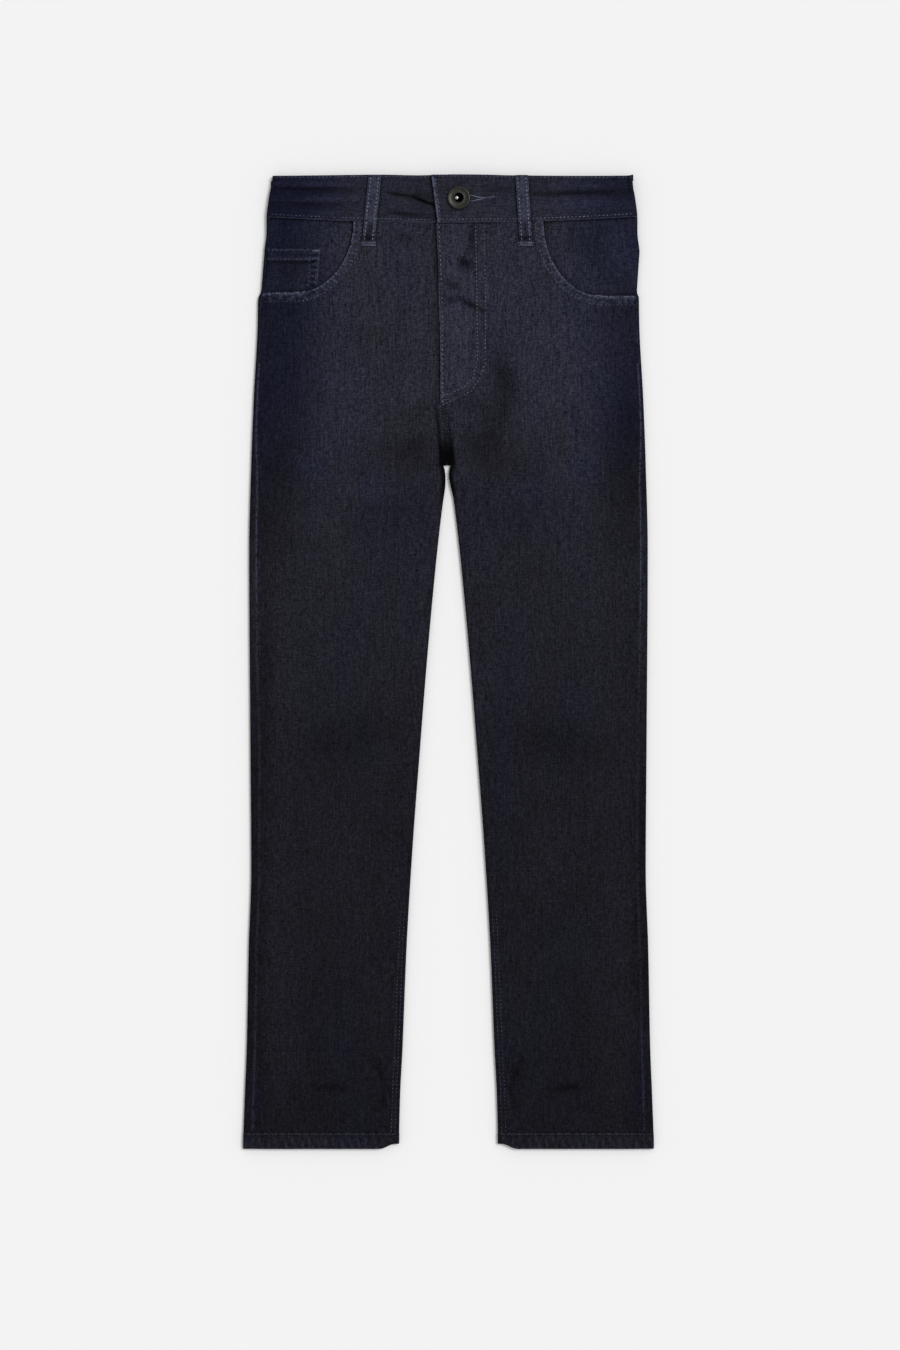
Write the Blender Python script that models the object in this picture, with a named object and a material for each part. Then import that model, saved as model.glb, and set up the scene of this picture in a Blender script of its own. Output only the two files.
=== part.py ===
"""Straight leg five-pocket jeans, laid flat on their back, front side up.

Metres, +Z up. +Y points to the waist and +X to the wearer's left leg. The origin is under the
middle of the garment, on the surface that it lies on. Every cut piece is a wall of its own, and
sewn edges are SEAM apart. Heights "up" are measured from the hem along +Y.
"""

import math

import bmesh
import bpy
from mathutils import Vector

MM = 0.001

# Driving sizes of the garment.
LENGTH = 974 * MM  # outseam, waistband included
HEM_DEPTH = 16 * MM
CROTCH_UP = 684 * MM
FLY_X = -7.5 * MM  # edge of the fly, which laps over to the wearer's right
FLY_END_UP = 765 * MM  # the front seam starts to sink into the crotch fold here
FLY_LAP = 12 * MM  # the right front runs on under the fly by this much

# Cloth.
DENIM = 1.2 * MM
BAND = 2.0 * MM  # waistband: two layers and a stiffener
STRIP = 1.1 * MM  # belt loops, back pockets and coin pocket
HEM = 2.0 * MM
SEAM = 0.3 * MM

# Heights of the flattened tube's outer face over the surface it lies on.
EDGE_TOP = 5.2 * MM  # along the folds at the sides
LEG_TOP = 6.1 * MM  # middle of a leg
HIP_TOP = 6.3 * MM
SEAT_LIFT = 1.4 * MM  # back pockets and loops lift the seat by this much
BAND_TOP = 7.4 * MM
CROTCH_FLOOR = 2.9 * MM  # outer face at the bottom of the crotch fold
ROLL = 25 * MM  # the front rises from a fold to its full height over this distance
CROTCH_ROLL = 9 * MM

# Half the laid width against the height up from the hem.
HALF_WIDTH = [
    (0, 205.5), (50, 204), (100, 202), (200, 200), (280, 197.5), (400, 198.3), (600, 199.5),
    (684, 197.5), (750, 195), (826, 190.4), (856, 189), (896, 187.8), (917, 185.4), (930, 185.4),
    (950, 183.5), (974, 180),
]
# Half the gap between the legs against the height up from the hem.
HALF_GAP = [
    (0, 49.5), (50, 48.5), (100, 46), (200, 42), (300, 36), (400, 28.5), (500, 20.5),
    (600, 11), (650, 5), (666, 2.2), (673, 1.7), (679, 2.2), (684, 3.5),
]
# How far the side seam lies in from the fold, on the front.
OUTSEAM_INSET = [(0, 9), (100, 8), (250, 8), (400, 9), (500, 7), (660, 6.3), (730, 3), (974, 3)]

# Front pockets: a quarter ellipse from the waistband, then a level mouth to the side seam.
POCKET_TOP_U = 95 * MM
POCKET_WIDE = 60 * MM
POCKET_TALL = 72 * MM
POCKET_MOUTH_UP = {-1: 855.5 * MM, 1: 852 * MM}
FACING_UNDERLAP = 12 * MM
FACING_CLEAR = 2 * MM  # the facing's side edge stops short of the side seam
COIN_POCKET_U = (128 * MM, 183 * MM)
COIN_POCKET_TOP_UP = 900 * MM

# Back: yoke seam, patch pockets.
YOKE_CENTRE_UP = 866 * MM
YOKE_SIDE_UP = 898 * MM
BACK_POCKET_U = (27 * MM, 149 * MM)
BACK_POCKET_UP = (722 * MM, 846 * MM)
BACK_POCKET_TAPER = 8 * MM
BACK_POCKET_POINT = 18 * MM

# Belt loops: (middle at the top, middle at the foot), and the height of the foot.
LOOP_WIDTH = 12.8 * MM
LOOP_FOOT_UP = 904 * MM
FRONT_LOOPS = {"right": (-73.5 * MM, -80.5 * MM), "left": (73 * MM, 77.5 * MM)}
BACK_LOOPS = {"right": -98 * MM, "centre": 0.0, "left": 98 * MM}

BUTTON_X = 10.3 * MM
BUTTON_UP = 950.5 * MM
BUTTON_R = 11.9 * MM
BAND_OVERLAP = (-14 * MM, 32 * MM)  # the buttoned end lies over the other end between these

SIDES = {"right": -1, "left": 1}  # the wearer's sides, as the sign of x


# ---------------------------------------------------------------- curves and heights

def smooth(t):
    t = min(1.0, max(0.0, t))
    return t * t * (3 - 2 * t)


def mix(a, b, t):
    return a + (b - a) * t


def through(points, at):
    """A smooth curve through (place, value) points in millimetres, read at a length in metres."""
    at /= MM
    if at <= points[0][0]:
        return points[0][1] * MM
    if at >= points[-1][0]:
        return points[-1][1] * MM
    i = max(k for k, p in enumerate(points) if p[0] <= at)

    def slope(k):
        if k == 0 or k == len(points) - 1:
            return 0.0
        before = (points[k][1] - points[k - 1][1]) / (points[k][0] - points[k - 1][0])
        after = (points[k + 1][1] - points[k][1]) / (points[k + 1][0] - points[k][0])
        return 0.0 if before * after <= 0 else 2 * before * after / (before + after)

    (x0, y0), (x1, y1) = points[i], points[i + 1]
    wide = x1 - x0
    t = (at - x0) / wide
    value = (
        y0 * (1 + 2 * t) * (1 - t) ** 2
        + slope(i) * wide * t * (1 - t) ** 2
        + y1 * t * t * (3 - 2 * t)
        + slope(i + 1) * wide * t * t * (t - 1)
    )
    return value * MM


def shift(up):
    """The waist was laid a little to the wearer's left of the legs."""
    return 3.5 * MM * smooth((up - 845 * MM) / (50 * MM))


def outer_x(side, up):
    return side * through(HALF_WIDTH, up) + shift(up)


def gap_middle(up):
    return -1.5 * MM * smooth((up - 650 * MM) / (30 * MM))


def inner_x(side, up):
    return gap_middle(up) + side * through(HALF_GAP, up)


def front_seam_x(up):
    return mix(gap_middle(CROTCH_UP), FLY_X, smooth((up - CROTCH_UP) / (70 * MM)))


def back_seam_x(up):
    return mix(gap_middle(CROTCH_UP), 0.0, smooth((up - CROTCH_UP) / (60 * MM)))


def seat_lift(x, up):
    """Height of the underside: back pockets lift it, and so do the belt loops at the waist."""
    ramp = 9 * MM
    u = abs(x)
    over_pocket = (
        smooth((u - BACK_POCKET_U[0]) / ramp + 1.1)
        * smooth((BACK_POCKET_U[1] - u) / ramp + 1.1)
        * smooth((up - BACK_POCKET_UP[0]) / ramp + 1.1)
        * smooth((BACK_POCKET_UP[1] - up) / ramp + 1.1)
    )
    over_loops = smooth((up - 884 * MM) / (18 * MM))
    return SEAT_LIFT * max(over_pocket, over_loops)


def edge_top(up):
    """Height of the front along the side folds; it rises to go into the waistband."""
    return mix(EDGE_TOP, 6.4 * MM, smooth((up - 880 * MM) / (40 * MM)))


def fold(side, up):
    """(middle x, middle z, radius) of the rounded side fold."""
    low = seat_lift(outer_x(side, up), up)
    radius = (edge_top(up) - low) / 2
    return outer_x(side, up) - side * radius, low + radius, radius


def front_z(side, x, up):
    """Outer face of the front."""
    middle = mix(LEG_TOP, HIP_TOP, smooth((up - 560 * MM) / (150 * MM)))
    middle = mix(middle, 6.6 * MM, smooth((up - 890 * MM) / (30 * MM)))
    from_side = smooth((abs(outer_x(side, up) - x) - 3 * MM) / ROLL)
    if up < CROTCH_UP:
        from_middle = smooth((abs(x - inner_x(side, up)) - 3 * MM) / ROLL)
        sink = 0.0
    else:
        near = abs(x - front_seam_x(up))
        opened = smooth((up - CROTCH_UP) / (70 * MM))
        from_middle = mix(smooth(near / ROLL), 1.0, opened)
        closing = 1 - smooth((up - 690 * MM) / (FLY_END_UP - 690 * MM))
        sink = closing * (1 - smooth(near / CROTCH_ROLL))
    high = mix(edge_top(up), middle, from_side * from_middle)
    return mix(high, CROTCH_FLOOR, sink)


BAND_CURVE = 0.172  # the waistband's lower edge rises towards the sides, per metre squared


def band_foot(x):
    return 926 * MM + BAND_CURVE * x * x


def under_fly(side, x, up):
    """How far the right front is let down to run under the fly."""
    if side > 0:
        return 0.0
    lapped = smooth((x - FLY_X + 7 * MM) / (6 * MM)) * smooth((up - FLY_END_UP) / (12 * MM))
    return (DENIM + SEAM) * lapped


def fly_lap(side, up):
    if side > 0:
        return 0.0
    return FLY_LAP * smooth((up - FLY_END_UP - 12 * MM) / (25 * MM))


def yoke_seam(x):
    return mix(YOKE_CENTRE_UP, YOKE_SIDE_UP, min(1.0, abs(x) / (187 * MM)))


# ---------------------------------------------------------------- walls

def place(x, up, z):
    return Vector((x, up - LENGTH / 2, z))


def height_field(x, up, z_of):
    """(point, outward normal) on a surface that is given by its height."""
    step = 0.4 * MM
    dx = (z_of(x + step, up) - z_of(x - step, up)) / (2 * step)
    dy = (z_of(x, up + step) - z_of(x, up - step)) / (2 * step)
    return place(x, up, z_of(x, up)), Vector((-dx, -dy, 1)).normalized()


def on_arc(middle_x, middle_z, radius, side, angle, up):
    """A point of a fold. The angle runs from -90, under the fold, by 0 at its edge, to 90."""
    out = Vector((side * math.cos(angle), 0, math.sin(angle)))
    return place(middle_x, up, middle_z) + out * radius, out


def material(name, colour, roughness, metallic=0.0):
    made = bpy.data.materials.new(name)
    made.use_nodes = True
    shader = made.node_tree.nodes["Principled BSDF"]
    shader.inputs["Base Color"].default_value = (*colour, 1)
    shader.inputs["Roughness"].default_value = roughness
    shader.inputs["Metallic"].default_value = metallic
    return made


def add(name, bm, finish):
    mesh = bpy.data.meshes.new(name)
    bm.to_mesh(mesh)
    bm.free()
    made = bpy.data.objects.new(name, mesh)
    made.data.materials.append(finish)
    bpy.context.scene.collection.objects.link(made)
    return made


def wall(name, rows, thickness, finish, ring=False):
    """A closed wall behind a grid of (point, normal). With ring, the last row joins the first."""
    bm = bmesh.new()
    faces = [
        [[bm.verts.new(p - n * depth) for p, n in row] for row in rows]
        for depth in (0.0, thickness)
    ]
    last = len(rows) if ring else len(rows) - 1
    wide = len(rows[0])
    for grid in faces:
        for i in range(last):
            a, b = grid[i], grid[(i + 1) % len(rows)]
            for j in range(wide - 1):
                bm.faces.new((a[j], a[j + 1], b[j + 1], b[j]))
    outer, inner = faces
    for i in range(last):
        k = (i + 1) % len(rows)
        for j in (0, -1):
            bm.faces.new((outer[i][j], outer[k][j], inner[k][j], inner[i][j]))
    if not ring:
        for i in (0, -1):
            for j in range(wide - 1):
                bm.faces.new((outer[i][j], outer[i][j + 1], inner[i][j + 1], inner[i][j]))
    bmesh.ops.recalc_face_normals(bm, faces=bm.faces[:])
    return add(name, bm, finish)


def steps(start, end, count):
    return [mix(start, end, i / count) for i in range(count + 1)]


# ---------------------------------------------------------------- sections of the legs and seat

ARC_STEPS = 4
TOP_STEPS = 7
FOLD_STEPS = 7


def inseam_angle(up):
    """The inseam shows on top at the hem and winds round the inner fold towards the crotch."""
    return math.radians(90) * (1 - smooth((up - 200 * MM) / (CROTCH_UP - 200 * MM)))


def leg_fold(side, up):
    radius = EDGE_TOP / 2
    return inner_x(side, up) + side * radius, radius, radius


def front_row(side, up):
    """One level row of the front: round the inner fold, or out of the crotch, to the side seam."""
    end = outer_x(side, up) - side * (through(OUTSEAM_INSET, up) + SEAM)

    def z_of(x, at):
        return front_z(side, x, at) - under_fly(side, x, at)

    if up <= CROTCH_UP:
        middle_x, middle_z, radius = leg_fold(side, up)
        angles = steps(inseam_angle(up), math.radians(90), ARC_STEPS)
        row = [on_arc(middle_x, middle_z, radius, -side, a, up) for a in angles[:-1]]
        start = middle_x
    else:
        lap = fly_lap(side, up)
        seam = front_seam_x(up) + side * SEAM / 2 + lap
        start = seam + side * (CROTCH_ROLL + 1.3 * lap)
        row = [height_field(x, up, z_of) for x in steps(seam, start, ARC_STEPS)[:-1]]
    return row + [height_field(x, up, z_of) for x in steps(start, end, TOP_STEPS)]


def pocket_mouth(side, t):
    """(x, up) along the front pocket's edge, from the waistband (0) to the side seam (1)."""
    turn = 0.78
    mouth_up = POCKET_MOUTH_UP[side]
    if t <= turn:
        angle = math.radians(90) * t / turn
        u = POCKET_TOP_U + POCKET_WIDE * (1 - math.cos(angle))
        x = side * u
        up = mix(mouth_up, band_foot(x) - SEAM, 1 - math.sin(angle))
        return x, up
    corner = side * (POCKET_TOP_U + POCKET_WIDE)
    end = outer_x(side, mouth_up) - side * (through(OUTSEAM_INSET, mouth_up) + SEAM)
    return mix(corner, end, (t - turn) / (1 - turn)), mouth_up


def pocket_row(side, t):
    """A row of the front from the fly edge to the pocket's edge."""
    end_x, end_up = pocket_mouth(side, t)
    lap = fly_lap(side, end_up)
    seam_x = FLY_X + side * SEAM / 2 + lap
    seam_up = mix(band_foot(seam_x) - SEAM, POCKET_MOUTH_UP[side] - 2 * MM, t)
    hollow = BAND_CURVE * (end_x - seam_x) ** 2 * (1 - t)

    def z_of(x, up):
        return front_z(side, x, up) - under_fly(side, x, up)

    start_t = (CROTCH_ROLL + 1.3 * lap) / abs(end_x - seam_x)
    row = []
    for s in steps(0.0, start_t, ARC_STEPS)[:-1] + steps(start_t, 1.0, TOP_STEPS):
        up = mix(seam_up, end_up, s) - hollow * s * (1 - s)
        row.append(height_field(mix(seam_x, end_x, s), up, z_of))
    return row


def front_panel(name, side, finish):
    ups = [16.3, 60, 110, 170, 240, 310, 380, 450, 520, 580, 630, 655, 667, 673, 679, 684]
    ups += [687, 698, 710, 724, 738, 752, 765, 777, 790, 803, 822, 840]
    rows = [front_row(side, up * MM) for up in ups]
    rows += [pocket_row(side, t) for t in (1, 0.89, 0.78, 0.68, 0.58, 0.48, 0.38, 0.28, 0.16, 0)]
    return wall(name, rows, DENIM, finish)


def under_row(side, up_of):
    """A row of the back, from the inseam or the seat seam, under, and round the side fold.

    up_of gives the height up from the hem against x, so that a row can follow the yoke seam.
    """
    up = up_of(back_seam_x(CROTCH_UP))

    def z_of(x, at):
        return -seat_lift(x, at)

    def underneath(x):
        point, normal = height_field(x, up_of(x), z_of)
        return Vector((point.x, point.y, -point.z)), Vector((normal.x, normal.y, -normal.z))

    side_up = up_of(outer_x(side, up))
    middle_x, middle_z, radius = fold(side, side_up)
    if up <= CROTCH_UP:
        inner_middle_x, inner_middle_z, inner_radius = leg_fold(side, up)
        clear = SEAM / (inner_radius - DENIM)
        angles = steps(inseam_angle(up) - clear, math.radians(-90), ARC_STEPS)
        row = [on_arc(inner_middle_x, inner_middle_z, inner_radius, -side, a, up) for a in angles[:-1]]
        start = inner_middle_x
    else:
        seam = back_seam_x(up) + side * SEAM / 2
        start = seam + side * CROTCH_ROLL
        row = [underneath(x) for x in steps(seam, start, ARC_STEPS)[:-1]]
    settled = smooth((up - CROTCH_UP) / (28 * MM))
    for even, u in zip(steps(start, middle_x, TOP_STEPS)[:-1], (9, 18, 27, 68, 108, 149, 158)):
        row.append(underneath(mix(even, side * u * MM, settled)))
    for angle in steps(math.radians(-90), math.radians(90), FOLD_STEPS):
        row.append(on_arc(middle_x, middle_z, radius, side, angle, side_up))
    seam_x = outer_x(side, side_up) - side * through(OUTSEAM_INSET, side_up)
    end, normal = height_field(seam_x, side_up, lambda x, at: front_z(side, x, at))
    return row + [(end, normal)]


def back_panel(name, side, finish):
    ups = [16.3, 60, 110, 170, 240, 310, 380, 450, 520, 580, 630, 655, 667, 673, 679, 684]
    ups += [687, 700, 712, 722, 735, 760, 800, 836, 846, 856]
    rows = [under_row(side, lambda x, up=up: up * MM) for up in ups]
    rows.append(under_row(side, lambda x: yoke_seam(x) - SEAM / 2))
    return wall(name, rows, DENIM, finish)


def yoke(name, side, finish):
    rows = [
        under_row(side, lambda x, t=t: mix(yoke_seam(x) + SEAM / 2, band_foot(x) - SEAM, t))
        for t in (0, 0.25, 0.5, 0.75, 1)
    ]
    return wall(name, rows, DENIM, finish)


# ---------------------------------------------------------------- pockets

FACING_DROP = DENIM + SEAM  # the facing lies this far under the front's outer face


def facing_z(side, x, up):
    """The facing lies under the front, and comes level with the side fold at its edge."""
    edge = smooth((abs(outer_x(side, up) - x) - 3 * MM) / (10 * MM))
    level = HIP_TOP - FACING_DROP - 0.1 * MM
    level = mix(level, 5.0 * MM, smooth((up - 890 * MM) / (30 * MM)))
    return mix(edge_top(up), level, edge)


def pocket_facing(name, side, finish):
    """From an edge hidden under the pocket's mouth to the waistband and the side seam."""
    corner_t = 0.5
    count = 12
    side_x = abs(outer_x(side, 930 * MM)) - 3 * MM - FACING_CLEAR

    def far_edge(t):
        if t <= corner_t:
            x = mix(side * POCKET_TOP_U, side * side_x, t / corner_t)
            return x, band_foot(x) - SEAM
        foot = POCKET_MOUTH_UP[side] + SEAM
        up = mix(band_foot(side * side_x) - SEAM, foot, (t - corner_t) / (1 - corner_t))
        return outer_x(side, up) - side * (through(OUTSEAM_INSET, up) + FACING_CLEAR), up

    def near_edge(t):
        x, up = pocket_mouth(side, t)
        if t == 1:
            x -= side * (FACING_CLEAR - SEAM)
        hidden = FACING_UNDERLAP * (1 - smooth((abs(x) - 136 * MM) / (20 * MM)))
        turn = math.radians(90) * min(1.0, t / 0.78)
        x -= side * hidden * math.cos(turn)
        up -= hidden * math.sin(turn)
        if hidden < SEAM:
            up += SEAM - hidden
        return x, up

    rows = []
    for i in range(count + 1):
        (x0, up0), (x1, up1) = near_edge(i / count), far_edge(i / count)
        rows.append([
            height_field(mix(x0, x1, s), mix(up0, up1, s), lambda x, up: facing_z(side, x, up))
            for s in steps(0, 1, 4)
        ])
    return wall(name, rows, DENIM, finish)


def coin_pocket(name, side, finish):
    """A small patch on the facing, whose foot goes down to the pocket's mouth."""
    low_u, high_u = COIN_POCKET_U
    rows = []
    for s in steps(0, 1, 8):
        x = side * mix(low_u, high_u, s)
        u = abs(x)
        if u < POCKET_TOP_U + POCKET_WIDE:
            angle = math.acos(1 - (u - POCKET_TOP_U) / POCKET_WIDE)
            foot = mix(POCKET_MOUTH_UP[side], band_foot(x) - SEAM, 1 - math.sin(angle))
            foot += 1.2 * SEAM / max(0.3, math.sin(angle))
        else:
            foot = POCKET_MOUTH_UP[side] + 1.2 * SEAM
        rows.append([
            height_field(x, up, lambda x, up: facing_z(side, x, up) + SEAM + STRIP)
            for up in steps(foot, COIN_POCKET_TOP_UP, 4)
        ])
    return wall(name, rows, STRIP, finish)


def back_pocket(name, side, finish):
    """A patch with a pointed foot, pressed flat under the seat."""
    bm = bmesh.new()
    (low_u, high_u), (low_up, high_up) = BACK_POCKET_U, BACK_POCKET_UP
    outline = [
        (low_u, high_up),
        (high_u, high_up),
        (high_u - BACK_POCKET_TAPER, low_up + BACK_POCKET_POINT),
        ((low_u + high_u) / 2, low_up),
        (low_u + BACK_POCKET_TAPER, low_up + BACK_POCKET_POINT),
    ]
    face = bm.faces.new([bm.verts.new(place(side * u, up, 0)) for u, up in outline])
    lifted = bmesh.ops.extrude_face_region(bm, geom=[face])["geom"]
    top = [v for v in lifted if isinstance(v, bmesh.types.BMVert)]
    bmesh.ops.translate(bm, verts=top, vec=(0, 0, STRIP))
    bmesh.ops.recalc_face_normals(bm, faces=bm.faces[:])
    return add(name, bm, finish)


# ---------------------------------------------------------------- waistband, loops and hems

def waistband(name, finish):
    """One strip: from its under end, round the wearer's right, the back and the left side,
    to the buttoned end, which lies over the under end."""
    overlap_from, overlap_to = BAND_OVERLAP
    lapped = BAND_TOP + BAND + SEAM
    low = SEAT_LIFT
    radius = (BAND_TOP - low) / 2

    def over(x):
        return mix(lapped, BAND_TOP, smooth((x - overlap_to - 4 * MM) / (26 * MM)))

    def column(x, z, out, side=0, angle=0.0):
        """Points up the band's height. On a fold, x follows the waist's outline."""
        made = []
        foot, head = band_foot(x), LENGTH
        for up in steps(foot, head, 3):
            if side:
                middle = outer_x(side, up) - side * radius
                made.append(on_arc(middle, low + radius, radius, side, angle, up))
            else:
                made.append((place(x, up, z), out))
        return made

    up_face, down_face = Vector((0, 0, 1)), Vector((0, 0, -1))
    right_end = outer_x(-1, 950 * MM) + radius + 6 * MM
    left_end = outer_x(1, 950 * MM) - radius - 6 * MM
    rows = [column(x, BAND_TOP, up_face) for x in steps(overlap_to, right_end, 5)]
    fold_x = {-1: outer_x(-1, 932 * MM), 1: outer_x(1, 932 * MM)}
    for degrees in (90, 60, 30, 0, -30, -60, -90):
        rows.append(column(fold_x[-1], 0, None, -1, math.radians(degrees)))
    rows += [column(x, low, down_face) for x in steps(right_end, left_end, 5)]
    for degrees in (-90, -60, -30, 0, 30, 60, 90):
        rows.append(column(fold_x[1], 0, None, 1, math.radians(degrees)))
    xs = steps(left_end, overlap_to + 34 * MM, 3) + steps(overlap_to + 26 * MM, overlap_to, 5)
    xs.append(overlap_from)
    for x in xs:
        tilt = (over(x + 0.5 * MM) - over(x - 0.5 * MM)) / MM
        rows.append(column(x, over(x), Vector((-tilt, 0, 1)).normalized()))
    return wall(name, rows, BAND, finish)


def front_loop(name, top_x, foot_x, finish):
    """Lies over the waistband and steps down to the front below it."""
    side = 1 if top_x > 0 else -1
    band_z = BAND_TOP + SEAM + STRIP
    rows = []
    for up in [LOOP_FOOT_UP / MM, 910, 916, 922, 927, 932, 950, 973]:
        up = up * MM
        middle = mix(foot_x, top_x, (up - LOOP_FOOT_UP) / (LENGTH - LOOP_FOOT_UP))
        panel_z = front_z(side, middle, up) + SEAM + STRIP
        rise = smooth((up - 914 * MM) / (11 * MM))
        z = mix(panel_z, band_z, rise)
        slope = (band_z - panel_z) * (smooth((up + MM - 914 * MM) / (11 * MM)) - rise) / MM
        normal = Vector((0, -slope, 1)).normalized()
        half = LOOP_WIDTH / 2
        rows.append([(place(x, up, z), normal) for x in (middle - half, middle, middle + half)])
    return wall(name, rows, STRIP, finish)


def back_loop(name, x, finish):
    bm = bmesh.new()
    bmesh.ops.create_cube(bm, size=1)
    tall = 973 * MM - LOOP_FOOT_UP
    bmesh.ops.scale(bm, verts=bm.verts, vec=(LOOP_WIDTH, tall, STRIP))
    middle = place(x, LOOP_FOOT_UP + tall / 2, STRIP / 2)
    bmesh.ops.translate(bm, verts=bm.verts, vec=middle)
    return add(name, bm, finish)


def hem(name, side, finish):
    """The turned-up end of a leg: a flat ring, a little thicker than the leg above it."""
    proud = 0.5 * MM
    radius = (EDGE_TOP + proud) / 2
    rise = LEG_TOP - EDGE_TOP

    def loop(up):
        """(point, normal) once round the leg, from the inner fold's top, outwards on top."""
        trim = 0.3 * MM
        inner = inner_x(side, up) + side * (radius - trim)
        outer = outer_x(side, up) - side * (radius - trim)

        def z_of(x, at):
            from_edges = min(abs(x - inner), abs(outer - x))
            return 2 * radius + rise * smooth(from_edges / ROLL)

        made = [height_field(x, up, z_of) for x in steps(inner, outer, 8)]
        half_turn = [math.radians(a) for a in (60, 30, 0, -30, -60)]
        made += [on_arc(outer, radius, radius, side, a, up) for a in half_turn]
        flat = Vector((0, 0, -1))
        made += [(place(x, up, 0), flat) for x in steps(outer, inner, 6)]
        made += [on_arc(inner, radius, radius, -side, -a, up) for a in half_turn]
        return made

    def foot(x):
        """The inner corner is cut slightly upwards."""
        return 6 * MM * (1 - smooth((abs(x - inner_x(side, 0)) - MM) / (16 * MM)))

    loops = [loop(up) for up in (0.0, 8 * MM, HEM_DEPTH)]
    for i, (point, normal) in enumerate(loops[0]):
        loops[0][i] = (point + Vector((0, foot(point.x), 0)), normal)
    rows = [[ring[i] for ring in loops] for i in range(len(loops[0]))]
    return wall(name, rows, HEM, finish, ring=True)


def button(name, finish):
    """A tack button: a domed rim, a flat ring and a sunk middle with its post."""
    profile = [
        (0, 0), (10.6, 0), (11.9, 0.8), (11.9, 1.6), (11.3, 2.5), (10.3, 2.9), (9.3, 2.6),
        (5.4, 2.4), (4.5, 2.1), (4.2, 1.0), (2.5, 0.9), (2.1, 1.7), (1.2, 2.1), (0, 2.2),
    ]
    bm = bmesh.new()
    scale = BUTTON_R / 11.9
    verts = [bm.verts.new((r * scale, 0, z * MM)) for r, z in profile]
    edges = [bm.edges.new(pair) for pair in zip(verts, verts[1:])]
    bmesh.ops.spin(
        bm, geom=verts + edges, cent=(0, 0, 0), axis=(0, 0, 1),
        angle=math.radians(360), steps=24, use_merge=True,
    )
    bmesh.ops.remove_doubles(bm, verts=bm.verts, dist=0.01 * MM)
    bmesh.ops.recalc_face_normals(bm, faces=bm.faces[:])
    on_cloth = BAND_TOP + BAND + 2 * SEAM
    bmesh.ops.translate(bm, verts=bm.verts, vec=place(BUTTON_X, BUTTON_UP, on_cloth))
    return add(name, bm, finish)


# ---------------------------------------------------------------- the garment

def main():
    for old in list(bpy.data.objects):
        bpy.data.objects.remove(old)
    denim = material("dark_indigo_denim", (0.012, 0.014, 0.026), 0.85)
    metal = material("dark_nickel", (0.10, 0.10, 0.10), 0.4, 1.0)
    for word, side in SIDES.items():
        front_panel(f"front_panel_{word}", side, denim)
        back_panel(f"back_panel_{word}", side, denim)
        yoke(f"yoke_{word}", side, denim)
        pocket_facing(f"pocket_facing_{word}", side, denim)
        back_pocket(f"back_pocket_{word}", side, denim)
        hem(f"hem_{word}", side, denim)
        front_loop(f"belt_loop_front_{word}", *FRONT_LOOPS[word], denim)
    for word, x in BACK_LOOPS.items():
        back_loop(f"belt_loop_back_{word}", x, denim)
    coin_pocket("coin_pocket", SIDES["right"], denim)
    waistband("waistband", denim)
    button("button", metal)


main()
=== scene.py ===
"""Straight leg jeans laid flat on their back: cloth, stitching, button, floor, light and camera."""

import math

import bmesh
import bpy
import numpy as np
from mathutils import Matrix, Vector, kdtree


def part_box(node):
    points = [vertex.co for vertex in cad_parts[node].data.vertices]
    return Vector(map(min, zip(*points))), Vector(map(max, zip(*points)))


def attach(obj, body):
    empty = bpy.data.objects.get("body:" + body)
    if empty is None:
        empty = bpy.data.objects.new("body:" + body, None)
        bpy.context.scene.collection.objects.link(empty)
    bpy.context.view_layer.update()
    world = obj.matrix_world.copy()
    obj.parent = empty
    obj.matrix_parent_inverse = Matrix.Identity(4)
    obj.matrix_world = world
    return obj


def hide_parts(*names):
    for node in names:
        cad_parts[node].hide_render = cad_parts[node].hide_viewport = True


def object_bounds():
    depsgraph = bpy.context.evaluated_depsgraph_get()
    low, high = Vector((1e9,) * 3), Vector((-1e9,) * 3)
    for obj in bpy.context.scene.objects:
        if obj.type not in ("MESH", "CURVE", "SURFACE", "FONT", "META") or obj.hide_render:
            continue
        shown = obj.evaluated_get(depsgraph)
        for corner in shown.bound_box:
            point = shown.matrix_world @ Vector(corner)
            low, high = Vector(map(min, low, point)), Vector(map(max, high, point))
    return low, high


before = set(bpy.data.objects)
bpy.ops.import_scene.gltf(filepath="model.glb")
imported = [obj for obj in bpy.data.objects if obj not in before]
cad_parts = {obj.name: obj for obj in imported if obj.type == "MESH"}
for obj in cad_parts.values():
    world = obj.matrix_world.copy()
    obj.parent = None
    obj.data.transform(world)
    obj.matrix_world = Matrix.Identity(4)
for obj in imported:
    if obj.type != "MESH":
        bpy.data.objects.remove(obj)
packed_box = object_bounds()

MM = 0.001
LENGTH = packed_box[1].y - packed_box[0].y
RNG = np.random.default_rng(7)

# ---------------------------------------------------------------- sizes shared with the solids

CROTCH_UP = 684 * MM
FLY_END_UP = 765 * MM
DENIM = 1.2 * MM
BAND = 2.0 * MM
STRIP = 1.1 * MM
SEAM = 0.15 * MM  # what is left open between two edges that are sewn together
EDGE_TOP = 5.2 * MM
LEG_TOP = 6.1 * MM
HIP_TOP = 6.3 * MM
SEAT_LIFT = 1.4 * MM
BAND_TOP = 7.4 * MM
CROTCH_FLOOR = 2.9 * MM
ROLL = 25 * MM
CROTCH_ROLL = 9 * MM
INSEAM_ROLL = EDGE_TOP / 2  # radius of the fold down each inseam
HALF_WIDTH = [
    (0, 205.5), (50, 204), (100, 202), (200, 200), (280, 197.5), (400, 198.3), (600, 199.5),
    (684, 197.5), (750, 195), (826, 191), (851, 190.6), (858, 188), (896, 187.8), (917, 185.6),
    (930, 185.6), (950, 183.5), (974, 179.6),
]
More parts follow.
